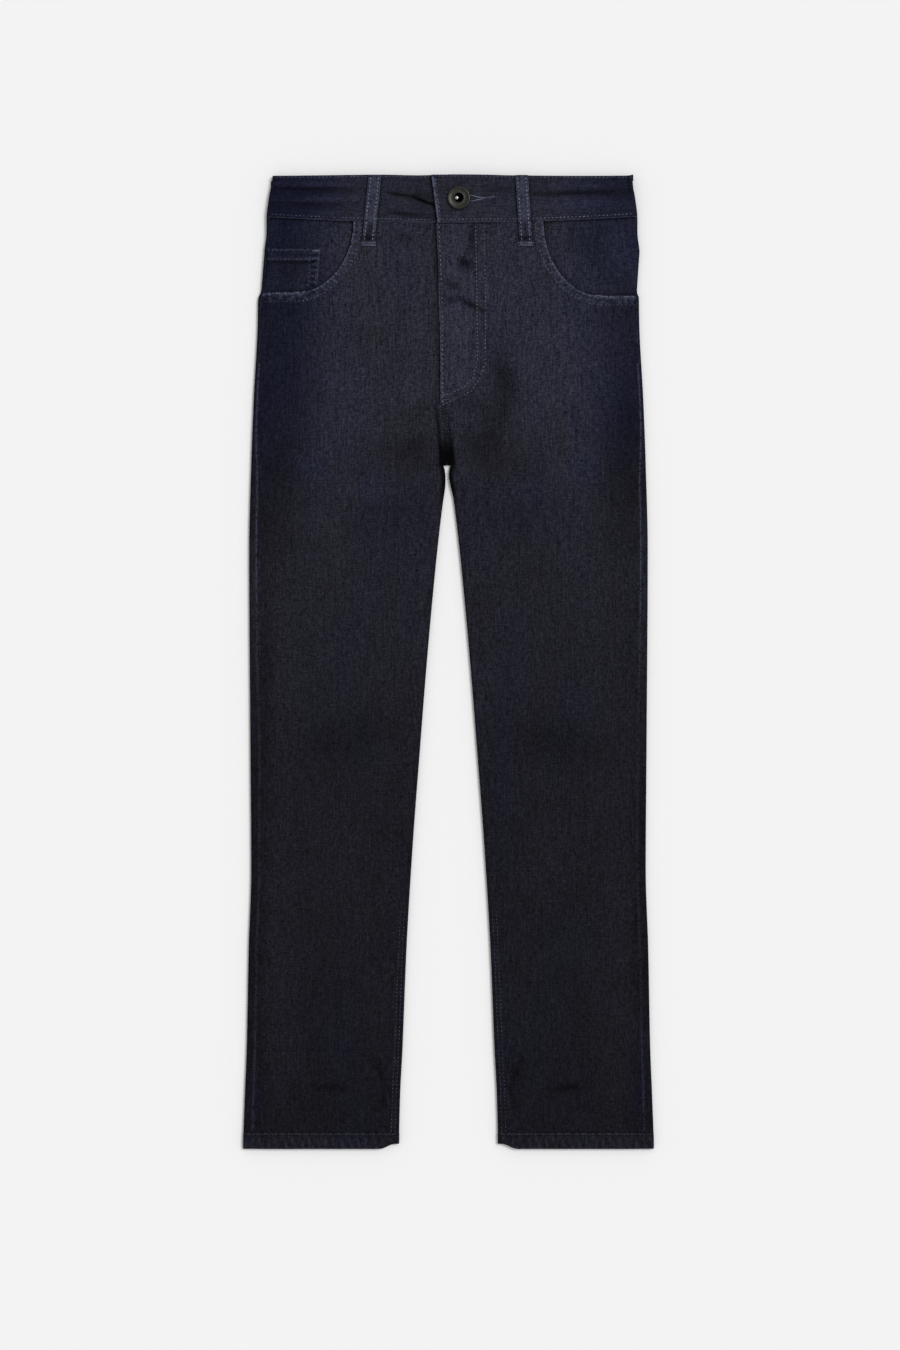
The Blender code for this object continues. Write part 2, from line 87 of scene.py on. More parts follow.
HALF_GAP = [
    (0, 49.5), (50, 48.5), (100, 46), (200, 42), (300, 36), (400, 28.5), (500, 20.5),
    (600, 11), (650, 5), (666, 2.2), (673, 1.7), (679, 2.2), (684, 3.5),
]
OUTSEAM_INSET = [(0, 9), (100, 8), (250, 8), (400, 9), (500, 7), (660, 6.3), (730, 3), (974, 3)]
POCKET_TOP_U = 95 * MM
POCKET_WIDE = 60 * MM
MOUTH_TURN = 0.78  # share of a pocket mouth that is its quarter turn; the rest is straight
MOUTH_REACH = 14 * MM  # how far from its mouth a pocket's wear is worked out
HIP_UP = 840 * MM  # above this a front is near enough to its pocket to wear with it
FLY_LAP = 12 * MM
POCKET_MOUTH_UP = {-1: 855.5 * MM, 1: 852 * MM}
BAND_CURVE = 0.172
YOKE_CENTRE_UP = 866 * MM
YOKE_SIDE_UP = 898 * MM
UNDER_END_X = 32 * MM  # where the waistband's under end stops
FRONT_LOOPS = {"right": (-73.5 * MM, -80.5 * MM), "left": (73 * MM, 77.5 * MM)}
LOOP_WIDTH = 12.8 * MM
LOOP_FOOT_UP = 904 * MM
PITCH = 3.85 * MM  # six and a half topstitches to the inch
TWILL_LINE = 0.95 * MM  # from one diagonal line of the weave to the next
SIDES = {"right": -1, "left": 1}
BACK_LOOPS = ("right", "centre", "left")
NOTCH = [680, 682, 683.95, 684.1, 685.5]  # closer rows where the inseams meet, in millimetres
HEM_ROW = 14.6  # height of the hem's stitches, in millimetres
TOP_ROW, FOOT_ROW = 1.9, 3.3  # the waistband's stitches from its top and foot, in millimetres
POST_OFF_CENTRE = 2.2 * MM


# ---------------------------------------------------------------- curves and heights

def smooth(t):
    t = np.clip(t, 0.0, 1.0)
    return t * t * (3 - 2 * t)


def mix(a, b, t):
    return a + (b - a) * t


def peak(away, half, power=2):
    """1 on a line and nothing far from it, by how wide it is in millimetres."""
    return np.exp(-((away / (half * MM)) ** power))


def ramp(at, start, run):
    """From 0 up to 1 over a run that starts somewhere, both in millimetres."""
    return smooth((at - start * MM) / (run * MM))


def fall(at, end, run):
    """From 1 down to 0 over a run that ends somewhere, both in millimetres."""
    return smooth((end * MM - at) / (run * MM))


def through(points, at):
    """A smooth curve through (place, value) points in millimetres, read at lengths in metres."""
    px, py = np.array(points, float).T * MM
    at = np.clip(np.asarray(at, float), px[0], px[-1])
    run = np.diff(px)
    rise = np.diff(py) / run
    slope = np.zeros(len(px))
    same = rise[:-1] * rise[1:] > 0
    total = np.where(same, rise[:-1] + rise[1:], 1.0)
    slope[1:-1] = np.where(same, 2 * rise[:-1] * rise[1:] / total, 0.0)
    i = np.clip(np.searchsorted(px, at, side="right") - 1, 0, len(px) - 2)
    t = (at - px[i]) / run[i]
    return (
        py[i] * (1 + 2 * t) * (1 - t) ** 2
        + slope[i] * run[i] * t * (1 - t) ** 2
        + py[i + 1] * t * t * (3 - 2 * t)
        + slope[i + 1] * run[i] * t * t * (t - 1)
    )


def outer_x(side, up):
    return side * through(HALF_WIDTH, up) + 3.5 * MM * ramp(up, 845, 50)


def gap_middle(up):
    return -1.5 * MM * ramp(up, 650, 30)


def inner_x(side, up):
    return gap_middle(up) + side * through(HALF_GAP, up)


def fly_x(up):
    return mix(-8.2 * MM, -12 * MM, ramp(up, 785, 140))


def front_seam_x(up):
    return mix(gap_middle(CROTCH_UP), fly_x(up), ramp(up - CROTCH_UP, 0, 70))


def back_seam_x(up):
    return mix(gap_middle(CROTCH_UP), 0.0, ramp(up - CROTCH_UP, 0, 60))


def seat_lift(x, up):
    """The back lies higher over its pockets and near the waistband."""
    u = np.abs(x)
    low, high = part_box("back_pocket_left")
    over = 1.0
    for past in (u - low.x, high.x - u, up - low.y - LENGTH / 2, high.y + LENGTH / 2 - up):
        over = over * smooth(past / (9 * MM) + 1.1)
    return SEAT_LIFT * np.maximum(over, ramp(up, 884, 18))


def edge_top(up):
    return mix(EDGE_TOP, 6.4 * MM, ramp(up, 880, 40))


def inset(up):
    return through(OUTSEAM_INSET, up)


def band_foot(x):
    return 926 * MM + BAND_CURVE * x * x


def yoke_seam(x):
    return mix(YOKE_CENTRE_UP, YOKE_SIDE_UP, np.minimum(1.0, np.abs(x) / (187 * MM)))


def front_z(side, x, up):
    """Height of the front's outer face, before its creases."""
    middle = mix(LEG_TOP, HIP_TOP, ramp(up, 560, 150))
    middle = mix(middle, 6.6 * MM, ramp(up, 890, 30))
    from_side = smooth((np.abs(outer_x(side, up) - x) - 3 * MM) / ROLL)
    near = np.abs(x - front_seam_x(up))
    opened = ramp(up - CROTCH_UP, 0, 70)
    above = mix(smooth(near / ROLL), 1.0, opened)
    below = smooth((np.abs(x - inner_x(side, up)) - 3 * MM) / ROLL)
    from_middle = np.where(up < CROTCH_UP, below, above)
    closing = 1 - smooth((up - 690 * MM) / (FLY_END_UP - 690 * MM))
    sink = np.where(up < CROTCH_UP, 0.0, closing * (1 - smooth(near / CROTCH_ROLL)))
    return mix(mix(edge_top(up), middle, from_side * from_middle), CROTCH_FLOOR, sink)


def both_legs(listed, across):
    """Each row, and the same row mirrored to the other leg."""
    return [tuple(-v if k in across else v for k, v in enumerate(row)) for row in listed] + listed


# Creases laid in: from (x, up) to (x, up), half width and height in millimetres.
FRONT_CREASES = [
    (-3, 866, 12, 860, 3, -0.6), (-6, 850, 8, 848, 3, -0.4), (8, 852, 38, 836, 2.6, -0.9),
    (8, 890, 22, 882, 4.5, -0.9), (25, 925, 21, 895, 4, -0.6), (2, 880, 10, 905, 6, 0.5),
    (14, 830, 26, 812, 9, 0.5),
    (48, 800, 62, 752, 12, -0.5), (62, 752, 30, 690, 12, -0.35),
    (-14, 742, -60, 728, 9, -0.25), (-16, 706, -55, 694, 10, -0.25), (-30, 905, -62, 915, 6, -0.25),
    (-70, 840, -120, 820, 14, 0.3), (70, 845, 120, 822, 14, 0.3),
    (-40, 640, -150, 600, 22, 0.4), (40, 640, 150, 604, 22, 0.4),
] + both_legs([
    (138, 62, 100, 61, 4, -0.6), (74, 92, 62, 60, 4, -0.5), (62, 60, 70, 40, 4, -0.4),
    (175, 300, 90, 330, 20, 0.3), (60, 420, 150, 400, 24, -0.3),
], (0, 2))
BACK_CREASES = both_legs([
    (20, 700, 120, 690, 10, -0.3), (40, 400, 150, 415, 16, -0.3), (60, 380, 160, 392, 12, 0.25),
], (0, 2))
BAND_CREASES = [
    (-178, 960.5, -92, 960, 2.4, -0.55), (-178, 946, -100, 945, 3, -0.35),
    (-62, 956.5, -34, 951.5, 1.7, -0.8), (-36, 952, -14, 943.5, 1.7, -1.05),
    (-64, 937, -16, 932, 3.4, -0.5), (-52, 946, -20, 940, 3, 0.4),
    (84, 955, 180, 958, 3, -0.5), (90, 947, 178, 948, 3.5, 0.25), (40, 960, 68, 958, 4, -0.3),
]


def creases(listed, x, up):
    """How far the listed creases raise the cloth, or lower it."""
    height = np.zeros(np.broadcast(x, up).shape)
    for x0, up0, x1, up1, half, high in listed:
        run, rise = (x1 - x0) * MM, (up1 - up0) * MM
        long = run * run + rise * rise
        t = np.clip(((x - x0 * MM) * run + (up - up0 * MM) * rise) / long, 0, 1)
        away = np.hypot(x - x0 * MM - t * run, up - up0 * MM - t * rise)
        ends = 0.35 + 0.65 * np.sin(np.pi * np.clip(t, 0.02, 0.98))
        height = height + high * MM * ends * peak(away, half)
    return height


def ripple(x, up):
    """The slight waviness of cloth that has been washed and pressed by hand."""
    a = np.sin(x / (31 * MM) + 2.2 * np.sin(up / (83 * MM))) * np.sin(up / (57 * MM) + 1.1)
    b = np.sin(x / (17 * MM) - up / (39 * MM)) * np.sin(up / (23 * MM) + x / (61 * MM))
    return (0.10 * a + 0.05 * b) * MM


# Where the dye has kept darker or faded lighter, and where light and shade are painted: the dark patches
# along the creases, beside the crotch and down the outer edges of the legs are painted shade, and the pale
# and dark stripes across the waistband are the painted highlight and shade of its creases: (x, up, half
# width, half height, fade, blue).
PATCHES = [
    (54, 762, 12, 30, -0.3, 0), (40, 715, 14, 40, -0.2, 0), (-135, 952, 60, 26, -0.1, 0.3),
    (-150, 890, 40, 34, -0.2, 0.2), (130, 908, 28, 17, -0.42, 0.1), (12, 872, 13, 9, -0.1, 0),
    (14, 848, 18, 12, 0.25, 0.4), (18, 800, 14, 22, 0.12, 0.2), (-22, 700, 18, 26, -0.2, 0),
    (22, 742, 18, 9, -0.3, 0), (180, 730, 16, 50, -0.2, 0), (150, 790, 30, 50, 0.2, -0.25),
    (-62, 809, 44, 56, -0.2, -0.05), (21, 709, 11, 15, -0.38, 0), (-155, 878, 24, 16, 0, -0.3),
    (-134, 650, 26, 80, 0.25, -0.1), (134, 655, 26, 80, 0.2, -0.1), (-50, 698, 34, 22, -0.25, -0.2),
    (60, 690, 34, 22, -0.25, -0.2), (-50, 640, 40, 30, -0.15, 0.1), (60, 640, 40, 30, -0.12, 0.1),
    (80, 860, 16, 30, 0.18, 0), (175, 900, 18, 30, 0.35, 0.2), (-30, 952, 12, 5, -0.6, 0),
    (-22, 942, 12, 5, -0.5, 0), (-135, 964, 50, 3, 0.3, 0.3), (-135, 957, 50, 3, -0.35, 0),
    (-135, 949, 50, 2.5, 0.3, 0.3), (-135, 942, 50, 4, -0.3, 0), (130, 955, 50, 3, -0.3, 0),
    (130, 945, 60, 5, 0.35, 0.4), (130, 963, 60, 4, 0.2, 0.3), (85, 800, 40, 90, 0.03, 0.3),
    (18, 940, 34, 16, 0.25, 0), (95, 745, 40, 60, 0, -0.15), (-184, 480, 11, 110, -0.3, -0.2),
    (180, 500, 16, 90, -0.15, 0.1), (-124, 130, 24, 76, -0.06, 0.05), (124, 130, 24, 76, -0.04, 0),
    (-194, 260, 9, 170, -0.32, -0.15), (194, 260, 9, 170, -0.3, -0.1),
] + both_legs([
    (78, 660, 26, 13, 0.2, 0.12), (138, 682, 18, 14, 0.15, 0.3), (90, 640, 70, 50, 0, 0.15),
    (170, 250, 22, 240, 0.1, -0.2), (110, 300, 30, 60, 0.1, -0.3), (190, 60, 8, 40, -0.1, 0.5),
], (0,))


def fade_and_painted_light(x, up):
    """How far the indigo has faded, from 0 to 1, with painted shade and highlight from some of the listed
    patches, and how blue what is left looks.
    """
    level = through([
        (0, 70), (20, 70), (150, 175), (300, 190), (500, 430), (650, 540), (710, 800), (790, 1000),
        (880, 1000), (926, 900), (974, 720),
    ], up)
    hips = ramp(up, 540, 150)
    u = np.abs(x)
    wide = np.where(x < 0, ramp(u, 100, 66), 0.85 * ramp(u, 108, 74))
    blue = ramp(up, 620, 140) * (0.05 + 0.66 * ramp(u, 85, 75))
    tone = level * (1 - 0.9 * hips * wide)
    for px, pup, half_x, half_up, paler, bluer in PATCHES:
        near = np.exp(-(((x / MM - px) / half_x) ** 2) - ((up / MM - pup) / half_up) ** 2)
        tone, blue = tone + paler * near, blue + bluer * near
    return tone, blue


# ---------------------------------------------------------------- materials

def linear(hex_colour):
    """An sRGB hex colour as linear red, green, blue and alpha."""
    parts = [int(hex_colour[i:i + 2], 16) / 255 for i in (1, 3, 5)]
    return tuple(p / 12.92 if p < 0.04045 else ((p + 0.055) / 1.055) ** 2.4 for p in parts) + (1.0,)


class Nodes:
    """A material's node tree, with one call to add a node and wire it."""

    def __init__(self, name):
        self.material = bpy.data.materials.new(name)
        self.material.use_nodes = True
        self.tree = self.material.node_tree
        self.shader = self.tree.nodes["Principled BSDF"]

    def add(self, kind, inputs=None, **settings):
        node = self.tree.nodes.new("ShaderNode" + kind)
        for key, value in settings.items():
            setattr(node, key, value)
        for key, value in (inputs or {}).items():
            self.feed(node.inputs[key], value)
        return node

    def shade(self, values):
        for key, value in values.items():
            self.feed(self.shader.inputs[key], value)

    def feed(self, socket, value):
        if isinstance(value, bpy.types.NodeSocket):
            self.tree.links.new(value, socket)
        else:
            socket.default_value = value

    def math(self, operation, a, b=0.0, c=0.0, clamp=False):
        return self.add("Math", {0: a, 1: b, 2: c}, operation=operation, use_clamp=clamp).outputs[0]

    def mix(self, factor, a, b, blend="MIX"):
        node = self.add("Mix", data_type="RGBA", blend_type=blend)
        for key, value in zip((0, 6, 7), (factor, a, b)):
            self.feed(node.inputs[key], value)
        return node.outputs[2]

    def attribute(self, key):
        return self.add("Attribute", attribute_name=key).outputs["Fac"]

    def noise(self, where, size, detail=2.0, rough=0.5):
        """Noise whose grain has the given sizes in millimetres along x, y and z."""
        scale = tuple(1000 / s for s in size)
        at = self.add("Mapping", {"Vector": where, "Scale": scale}).outputs[0]
        made = self.add("TexNoise", {"Vector": at, "Scale": 1.0, "Detail": detail, "Roughness": rough})
        return made.outputs["Fac"]


def denim(name, along="y", strength=1.0):
    """Indigo stretch denim twill: slubby warp streaks, diagonal twill lines, edges rubbed pale, and painted
    shade that darkens the colour where a piece marks it.
    """
    n = Nodes(name)
    where = n.add("TexCoord").outputs["Object"]
    wear_and_shade, fade_with_painted_light, blue = (n.attribute(key) for key in ("wear_and_shade", "fade_and_painted_light", "blue"))

    def turn(across, down):
        return (across, down, across) if along == "y" else (down, across, across)

    streak = n.noise(where, turn(1.5, 6), 2.0, 0.65)
    slub = n.noise(where, turn(1.9, 26), 1.0)
    fleck = n.noise(where, turn(1.6, 2.0), 1.0)
    weft = n.noise(where, turn(6, 1.6), 1.0)
    cloud = n.noise(where, (26, 34, 26), 2.0)
    tint = n.math("MULTIPLY_ADD", n.noise(where, (40, 150, 40), 2.0), 0.9, -0.38)
    blue = n.math("ADD", blue, tint, clamp=True)
    dark = n.mix(blue, linear("#121117"), linear("#111222"))
    light = n.mix(blue, linear("#272730"), linear("#242638"))
    # The fade attribute brings painted shade and highlight along with the dye's fading.
    level = n.math("ADD", fade_with_painted_light, n.math("MULTIPLY_ADD", cloud, 0.22, -0.11), clamp=True)
    base = n.mix(level, dark, light)
    grain = 0.0
    for part, gain in ((streak, 2.4), (slub, 1.0), (weft, 1.3), (fleck, 1.8)):
        gain = gain * strength
        grain = n.math("ADD", grain, n.math("MULTIPLY_ADD", part, gain, -gain / 2))
    grain = n.math("MAXIMUM", n.math("MULTIPLY", grain, 1.3), n.math("MULTIPLY", grain, 0.9))
    gain = n.math("MULTIPLY_ADD", grain, n.math("MULTIPLY_ADD", level, 0.25, 0.72), -0.1)
    undyed = n.mix(level, linear("#141319"), linear("#26262d"))
    flecked = n.add("VectorMath", {0: undyed, 1: gain, 2: base}, operation="MULTIPLY_ADD")
    # Painted shade: below zero the wear attribute darkens the colour, for crease troughs, hollows and shadows
    # beside raised edges; a little of it is the dark of rubbed and roped wear.
    shade_and_wear_darkening = n.math("ADD", n.math("MINIMUM", wear_and_shade, 0.0), 1.0, clamp=True)
    darkened = n.add("VectorMath", {0: flecked.outputs[0]}, operation="SCALE")
    n.feed(darkened.inputs["Scale"], shade_and_wear_darkening)
    patches = n.noise(where, (4, 4, 4), 2.0)
    rubbed = n.math("MULTIPLY_ADD", n.math("MULTIPLY", patches, fleck), 7.0, -0.9, clamp=True)
    edge = n.math("MULTIPLY", wear_and_shade, rubbed, clamp=True)
    colour = n.mix(edge, darkened.outputs[0], linear("#52576c"))
    slope = math.radians(28 if along == "y" else 62)
    diagonal = n.add("Mapping", {"Vector": where, "Rotation": (0, 0, slope)}).outputs[0]
    lines = {"Vector": diagonal, "Scale": 1 / TWILL_LINE / 6.283}
    uneven = {"Distortion": 1.2, "Detail": 1.0, "Detail Scale": 2.0}
    twill = n.add("TexWave", lines | uneven, wave_type="BANDS", bands_direction="X").outputs["Fac"]
    height = n.math("ADD", n.math("MULTIPLY", twill, 0.5), n.math("MULTIPLY", streak, 0.9))
    bump = n.add("Bump", {"Height": height, "Strength": 0.35, "Distance": 0.0003})
    n.shade({
        "Base Color": colour, "Normal": bump.outputs[0], "Roughness": 0.9, "Specular IOR Level": 0.06,
        "Sheen Weight": 0.02, "Sheen Roughness": 0.5,
    })
    return n.material


def thread(name, colour, pale):
    """Corespun polyester topstitch thread, with the light and dark of its twist."""
    n = Nodes(name)
    where = n.add("TexCoord").outputs["Object"]
    wear_and_shade = n.noise(where, (9, 9, 9), 2.0)
    twist = n.noise(where, (0.5, 0.5, 0.5), 1.0)
    both = n.math("MULTIPLY_ADD", wear_and_shade, 2.4, n.math("MULTIPLY_ADD", twist, 1.0, -1.3), clamp=True)
    colour = n.mix(both, linear(colour), linear(pale))
    n.shade({"Base Color": colour, "Roughness": 0.7, "Specular IOR Level": 0.2})
    return n.material


def metal(name, dark, light, rough):
    """Antiqued zinc alloy in random dark and rubbed bright patches, near black in its centre hole: patina and
    painted shade together.
    """
    n = Nodes(name)
    where = n.add("TexCoord").outputs["Object"]
    rubbed = n.noise(where, (2.5, 2.5, 2.5), 3.0, 0.6)
    fine = n.noise(where, (0.4, 0.4, 0.4), 2.0)
    hollow = n.attribute("hollow")
    face = n.mix(rubbed, linear(dark), linear(light))
    # The hollow mask paints the centre hole near black: patina and painted shade.
    n.shade({"Base Color": n.mix(hollow, face, linear("#050505")), "Metallic": 1.0})
    n.shade({"Roughness": n.math("MULTIPLY_ADD", fine, 0.25, rough - 0.12)})
    bump = n.add("Bump", {"Height": fine, "Strength": 0.2, "Distance": 0.0001})
    n.shade({"Normal": bump.outputs[0]})
    return n.material


DENIM_LOOK = denim("indigo_stretch_denim_twill")
BAND_LOOK = denim("indigo_stretch_denim_twill_waistband", along="x", strength=0.8)
THREAD_LOOK = thread("corespun_polyester_topstitch_thread", "#3e4153", "#7b8095")
DULL_THREAD = thread("corespun_polyester_seam_thread", "#2f3140", "#53576a")
BRIGHT_THREAD = thread("corespun_polyester_bartack_thread", "#4d5268", "#868ca4")
BUTTON_LOOK = metal("antiqued_zinc_alloy", "#181817", "#434340", 0.42)
POST_LOOK = metal("bright_nickel_post", "#8c9094", "#d6d8da", 0.2)


# ---------------------------------------------------------------- meshes


def stand_for(made, nodes):
    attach(made, "root")
    if nodes:
        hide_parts(*nodes)
    return made


def finish_mesh(name, bm, look):
    mesh = bpy.data.meshes.new(name)
    bm.to_mesh(mesh)
    bm.free()
    for face in mesh.polygons:
        face.use_smooth = True
    made = bpy.data.objects.new(name, mesh)
    made.data.materials.append(look)
    bpy.context.scene.collection.objects.link(made)
    return made


def shell(name, grid, thickness, look, nodes, out, wear_and_shade=0.0, level=0.0, ring=False):
    """A thin cloth wall whose outer face goes through a grid of points."""
    rows, cols = grid.shape[:2]
    bm = bmesh.new()
    bmesh.ops.create_grid(bm, x_segments=cols - 1, y_segments=rows - 1, size=1)
    wear_and_shade = np.broadcast_to(wear_and_shade, (rows, cols))
    tone, blue = fade_and_painted_light(grid[..., 0], grid[..., 1] + LENGTH / 2)
    layers = [bm.verts.layers.float.new(key) for key in ("wear_and_shade", "fade_and_painted_light", "blue")]
    values = (wear_and_shade, tone + level, np.broadcast_to(blue, (rows, cols)))
    for vert in bm.verts:
        j = round((vert.co.x + 1) / 2 * (cols - 1))
        i = round((vert.co.y + 1) / 2 * (rows - 1))
        vert.co = grid[i, j]
        for layer, value in zip(layers, values):
            vert[layer] = value[i, j]
    if ring:
        bmesh.ops.remove_doubles(bm, verts=bm.verts, dist=0.02 * MM)
    bm.normal_update()
    total = Vector()
    for face in bm.faces:
        if abs(face.normal.z) > 0.5 and face.calc_center_median().z * out > 3 * MM * out:
            total += face.normal
    if total.z * out < 0:
        bmesh.ops.reverse_faces(bm, faces=bm.faces)
    made = finish_mesh(name, bm, look)
    wall = made.modifiers.new("wall", "SOLIDIFY")
    wall.thickness = thickness
    wall.offset = -1
    return stand_for(made, nodes)


def stacked(*parts):
    return np.stack(np.broadcast_arrays(*parts), axis=-1)


def points(x, up, z):
    return stacked(x, up - LENGTH / 2, z)


def spread(grid):
    """The x of a grid's points, and how far up from the hems they are."""
    return grid[..., 0], grid[..., 1] + LENGTH / 2


def arc(middle, height, radius, side, angle, up):
    """Points round a fold, from the x and height of its middle; side says which way it bulges."""
    return points(middle + side * radius * np.cos(angle), up, height + radius * np.sin(angle))


def measured(line):
    """A line of (x, up) millimetres as x and up in metres, and how far along it each point is."""
    line = np.array(line, float) * MM
    return *line.T, np.concatenate([[0], np.cumsum(np.hypot(*np.diff(line, axis=0).T))])


def along_line(surface, line):
    """A line of (x, up) points in millimetres, run over a height surface every half millimetre."""
    line_x, line_up, place = measured(line)
    at = np.linspace(0, place[-1], max(2, int(place[-1] / (0.5 * MM))))
    x, up = np.interp(at, place, line_x), np.interp(at, place, line_up)
    step = 0.4 * MM
    dx = (surface(x + step, up) - surface(x - step, up)) / (2 * step)
    dy = (surface(x, up + step) - surface(x, up - step)) / (2 * step)
    normal = np.stack([-dx, -dy, np.ones_like(dx)], axis=-1)
    return points(x, up, surface(x, up)), normal / np.linalg.norm(normal, axis=1)[:, None]


def vector_at(at, run, values):
    return Vector([np.interp(at, run, values[:, i]) for i in range(3)])


def sew(bm, track, pitch=PITCH, long=2.1 * MM, wide=0.8 * MM, high=0.38 * MM, lean=0.08):
    """A row of stitches, each a small bead of thread sunk half into the cloth."""
    place, normal = track
    run = np.concatenate([[0], np.cumsum(np.linalg.norm(np.diff(place, axis=0), axis=1))])
    count = int(run[-1] / pitch)
    for k in range(count):
        at = (k + 0.5) * run[-1] / count
        at += RNG.normal(0, 0.03) * pitch
        middle = vector_at(at, run, place)
        up = vector_at(at, run, normal).normalized()
        ahead = (vector_at(at + 0.6 * MM, run, place) - vector_at(at - 0.6 * MM, run, place)).normalized()
        across = up.cross(ahead).normalized()
        ahead = (ahead + across * (lean + RNG.normal(0, 0.03))).normalized()
        across = up.cross(ahead).normalized()
        size = long / 2 * (1 + RNG.normal(0, 0.05))
        turn = Matrix((ahead * size, across * (wide / 2), up * high)).transposed()
        matrix = Matrix.Translation(middle + up * 0.1 * MM) @ turn.to_4x4()
        bmesh.ops.create_uvsphere(bm, u_segments=6, v_segments=4, radius=1, matrix=matrix)


def on_surface(x, up):
    """The back pockets and loops rest on what the garment is laid on."""
    return 0.05 * MM + 0 * x


def sew_under(bm, surface, line, **sizes):
    """A row of stitches on the side that faces down, sunk so that they hold nothing up."""
    place, normal = along_line(surface, line)
    place[:, 2] += 0.1 * MM
    sew(bm, (place, -normal), high=0.18 * MM, **sizes)


def bartack(bm, surface, start, end, tall, count):
    """Close satin stitches from start to end, in millimetres, each across the tack."""
    (x0, up0), (x1, up1) = start, end
    ahead = np.array([x1 - x0, up1 - up0]) / math.hypot(x1 - x0, up1 - up0)
    over = np.array([-ahead[1], ahead[0]]) * tall / 2
    for k in range(count):
        t = (k + 0.5) / count
        middle = np.array([mix(x0, x1, t), mix(up0, up1, t)])
        skew = ahead * (0.35 if k % 2 else -0.35)
        line = [middle - over - skew, middle + over + skew]
        long = tall * MM * 1.05
        sew(bm, along_line(surface, line), pitch=long * 0.9, long=long, wide=0.55 * MM, high=0.5 * MM, lean=0)


def nearness(line, x, up, reach):
    """How near grid points lie to a line of (x, up) millimetres, and how far along it."""
    line_x, line_up, place = measured(line)
    at = np.arange(0, place[-1], 0.7 * MM)
    lx, lup = np.interp(at, place, line_x), np.interp(at, place, line_up)
    tree = kdtree.KDTree(len(at))
    for k in range(len(at)):
        tree.insert((lx[k], lup[k], 0), k)
    tree.balance()
    flat_x, flat_up = np.broadcast_arrays(x, up)
    away, far = np.full(flat_x.shape, 1.0), np.zeros(flat_x.shape)
    inside = (
        (flat_x > lx.min() - reach) & (flat_x < lx.max() + reach)
        & (flat_up > lup.min() - reach) & (flat_up < lup.max() + reach)
    )
    for index in zip(*np.nonzero(inside)):
        _, k, d = tree.find((flat_x[index], flat_up[index], 0))
        away[index] = d
        far[index] = at[k]
    return away, far


def seam_relief(lines, x, up):
    """The dent of each stitch line, with the small puckers beside it."""
    height = np.zeros(np.broadcast(x, up).shape)
    for line in lines:
        away, far = nearness(line, x, up, 12 * MM)
        pucker = np.sin(far / (1.5 * MM)) * 0.6 + np.sin(far / (2.3 * MM) + 1)
        height -= 0.16 * MM * peak(away, 0.9)
        height += 0.05 * MM * pucker * peak(away, 3.2)
    return height


# ---------------------------------------------------------------- front panels

def pocket_mouth(side, t, off=0.0):
    """(x, up) along the pocket's edge, and the same edge moved on to the front by off."""
    mouth_up = POCKET_MOUTH_UP[side]
    angle = math.radians(90) * np.minimum(1.0, t / MOUTH_TURN)
    wide = POCKET_WIDE + off
    u = POCKET_TOP_U + POCKET_WIDE - wide * np.cos(angle)
    top = band_foot(u) - SEAM
    up = mouth_up - off + (top - mouth_up + off) * (1 - np.sin(angle))
    end = outer_x(side, mouth_up) - side * (inset(mouth_up) + SEAM)
    later = np.clip((t - MOUTH_TURN) / (1 - MOUTH_TURN), 0, 1)
    x = np.where(t <= MOUTH_TURN, side * u, mix(side * (POCKET_TOP_U + POCKET_WIDE), end, later))
    return x, up


def line_of(pair):
    return stacked(*pair) / MM


T = np.linspace(0, 1, 60)  # places along a pocket's mouth
TURN_END = 46  # the place where its quarter turn ends
MOUTH_ROWS = {side: [line_of(pocket_mouth(side, T, off * MM)) for off in (1.6, 8)] for side in (-1, 1)}
FLY_ROWS = [
    [(27, 924), (28.5, 846), (29, 790), (25, 772), (16, 762), (2, 755.5), (-7, 753.6)],
    [(35.2, 924), (37.2, 846), (36.6, 785), (31, 770), (23, 758), (7, 750), (-7, 743.6)],
]
FLY_EDGE = [(-9.6, 924), (-6.5, 850), (-5.8, 785), (-5.8, 745)]
FRONT_SEAM_ROWS = [[(-7.6, 744), (-5.6, 716)], [(-2.6, 742), (0.0, 716)]]
FRONT_LINES = {
    -1: MOUTH_ROWS[-1],
    1: MOUTH_ROWS[1] + FLY_ROWS + [FLY_EDGE],
}


def under_fly(side, x, up):
    if side > 0:
        return 0.0
    down = smooth((x - fly_x(up) + 5 * MM) / (4.5 * MM)) * ramp(up - FLY_END_UP, 0, 12)
    return 1.5 * MM * down


def front_face(side, x, up):
    """Height of a front panel's outer face with its creases, without the dents of its stitches."""
    rise = 0.35 * MM * ramp(up, 745, 20) * smooth(1.2 - np.abs(x - 13 * MM) / (24 * MM))
    rise = rise if side > 0 else 0.0
    laid = front_z(side, x, up) - under_fly(side, x, up)
    return laid + creases(FRONT_CREASES, x, up) + ripple(x, up) + rise


def spaced(count):
    """Places from 0 to 1, closer together at both ends."""
    t = np.linspace(0, 1, count)
    return mix(t, 0.5 - 0.5 * np.cos(np.pi * t), 0.55)


def fold_angle(up):
    return math.radians(90) * (1 - smooth((up - 200 * MM) / (CROTCH_UP - 200 * MM)))


def leg_track(side, ups, off):
    """A line that runs down the leg, off metres from the inseam over the fold on to the front."""
    place, normal = [], []
    radius = INSEAM_ROLL
    for up in ups:
        bend = radius * (math.pi / 2 - fold_angle(up))
        middle = float(inner_x(side, up)) + side * radius
        if off < bend:
            a = float(fold_angle(up)) + off / radius
            out = (-side * math.cos(a), 0, math.sin(a))
            place.append((middle + out[0] * radius, up - LENGTH / 2, radius + out[2] * radius))
            normal.append(out)
        else:
            x = middle + side * (off - bend)
            z = float(front_face(side, np.array(x), np.array(up)))
            place.append((x, up - LENGTH / 2, z))
            normal.append((0, 0, 1))
    return np.array(place), np.array(normal)


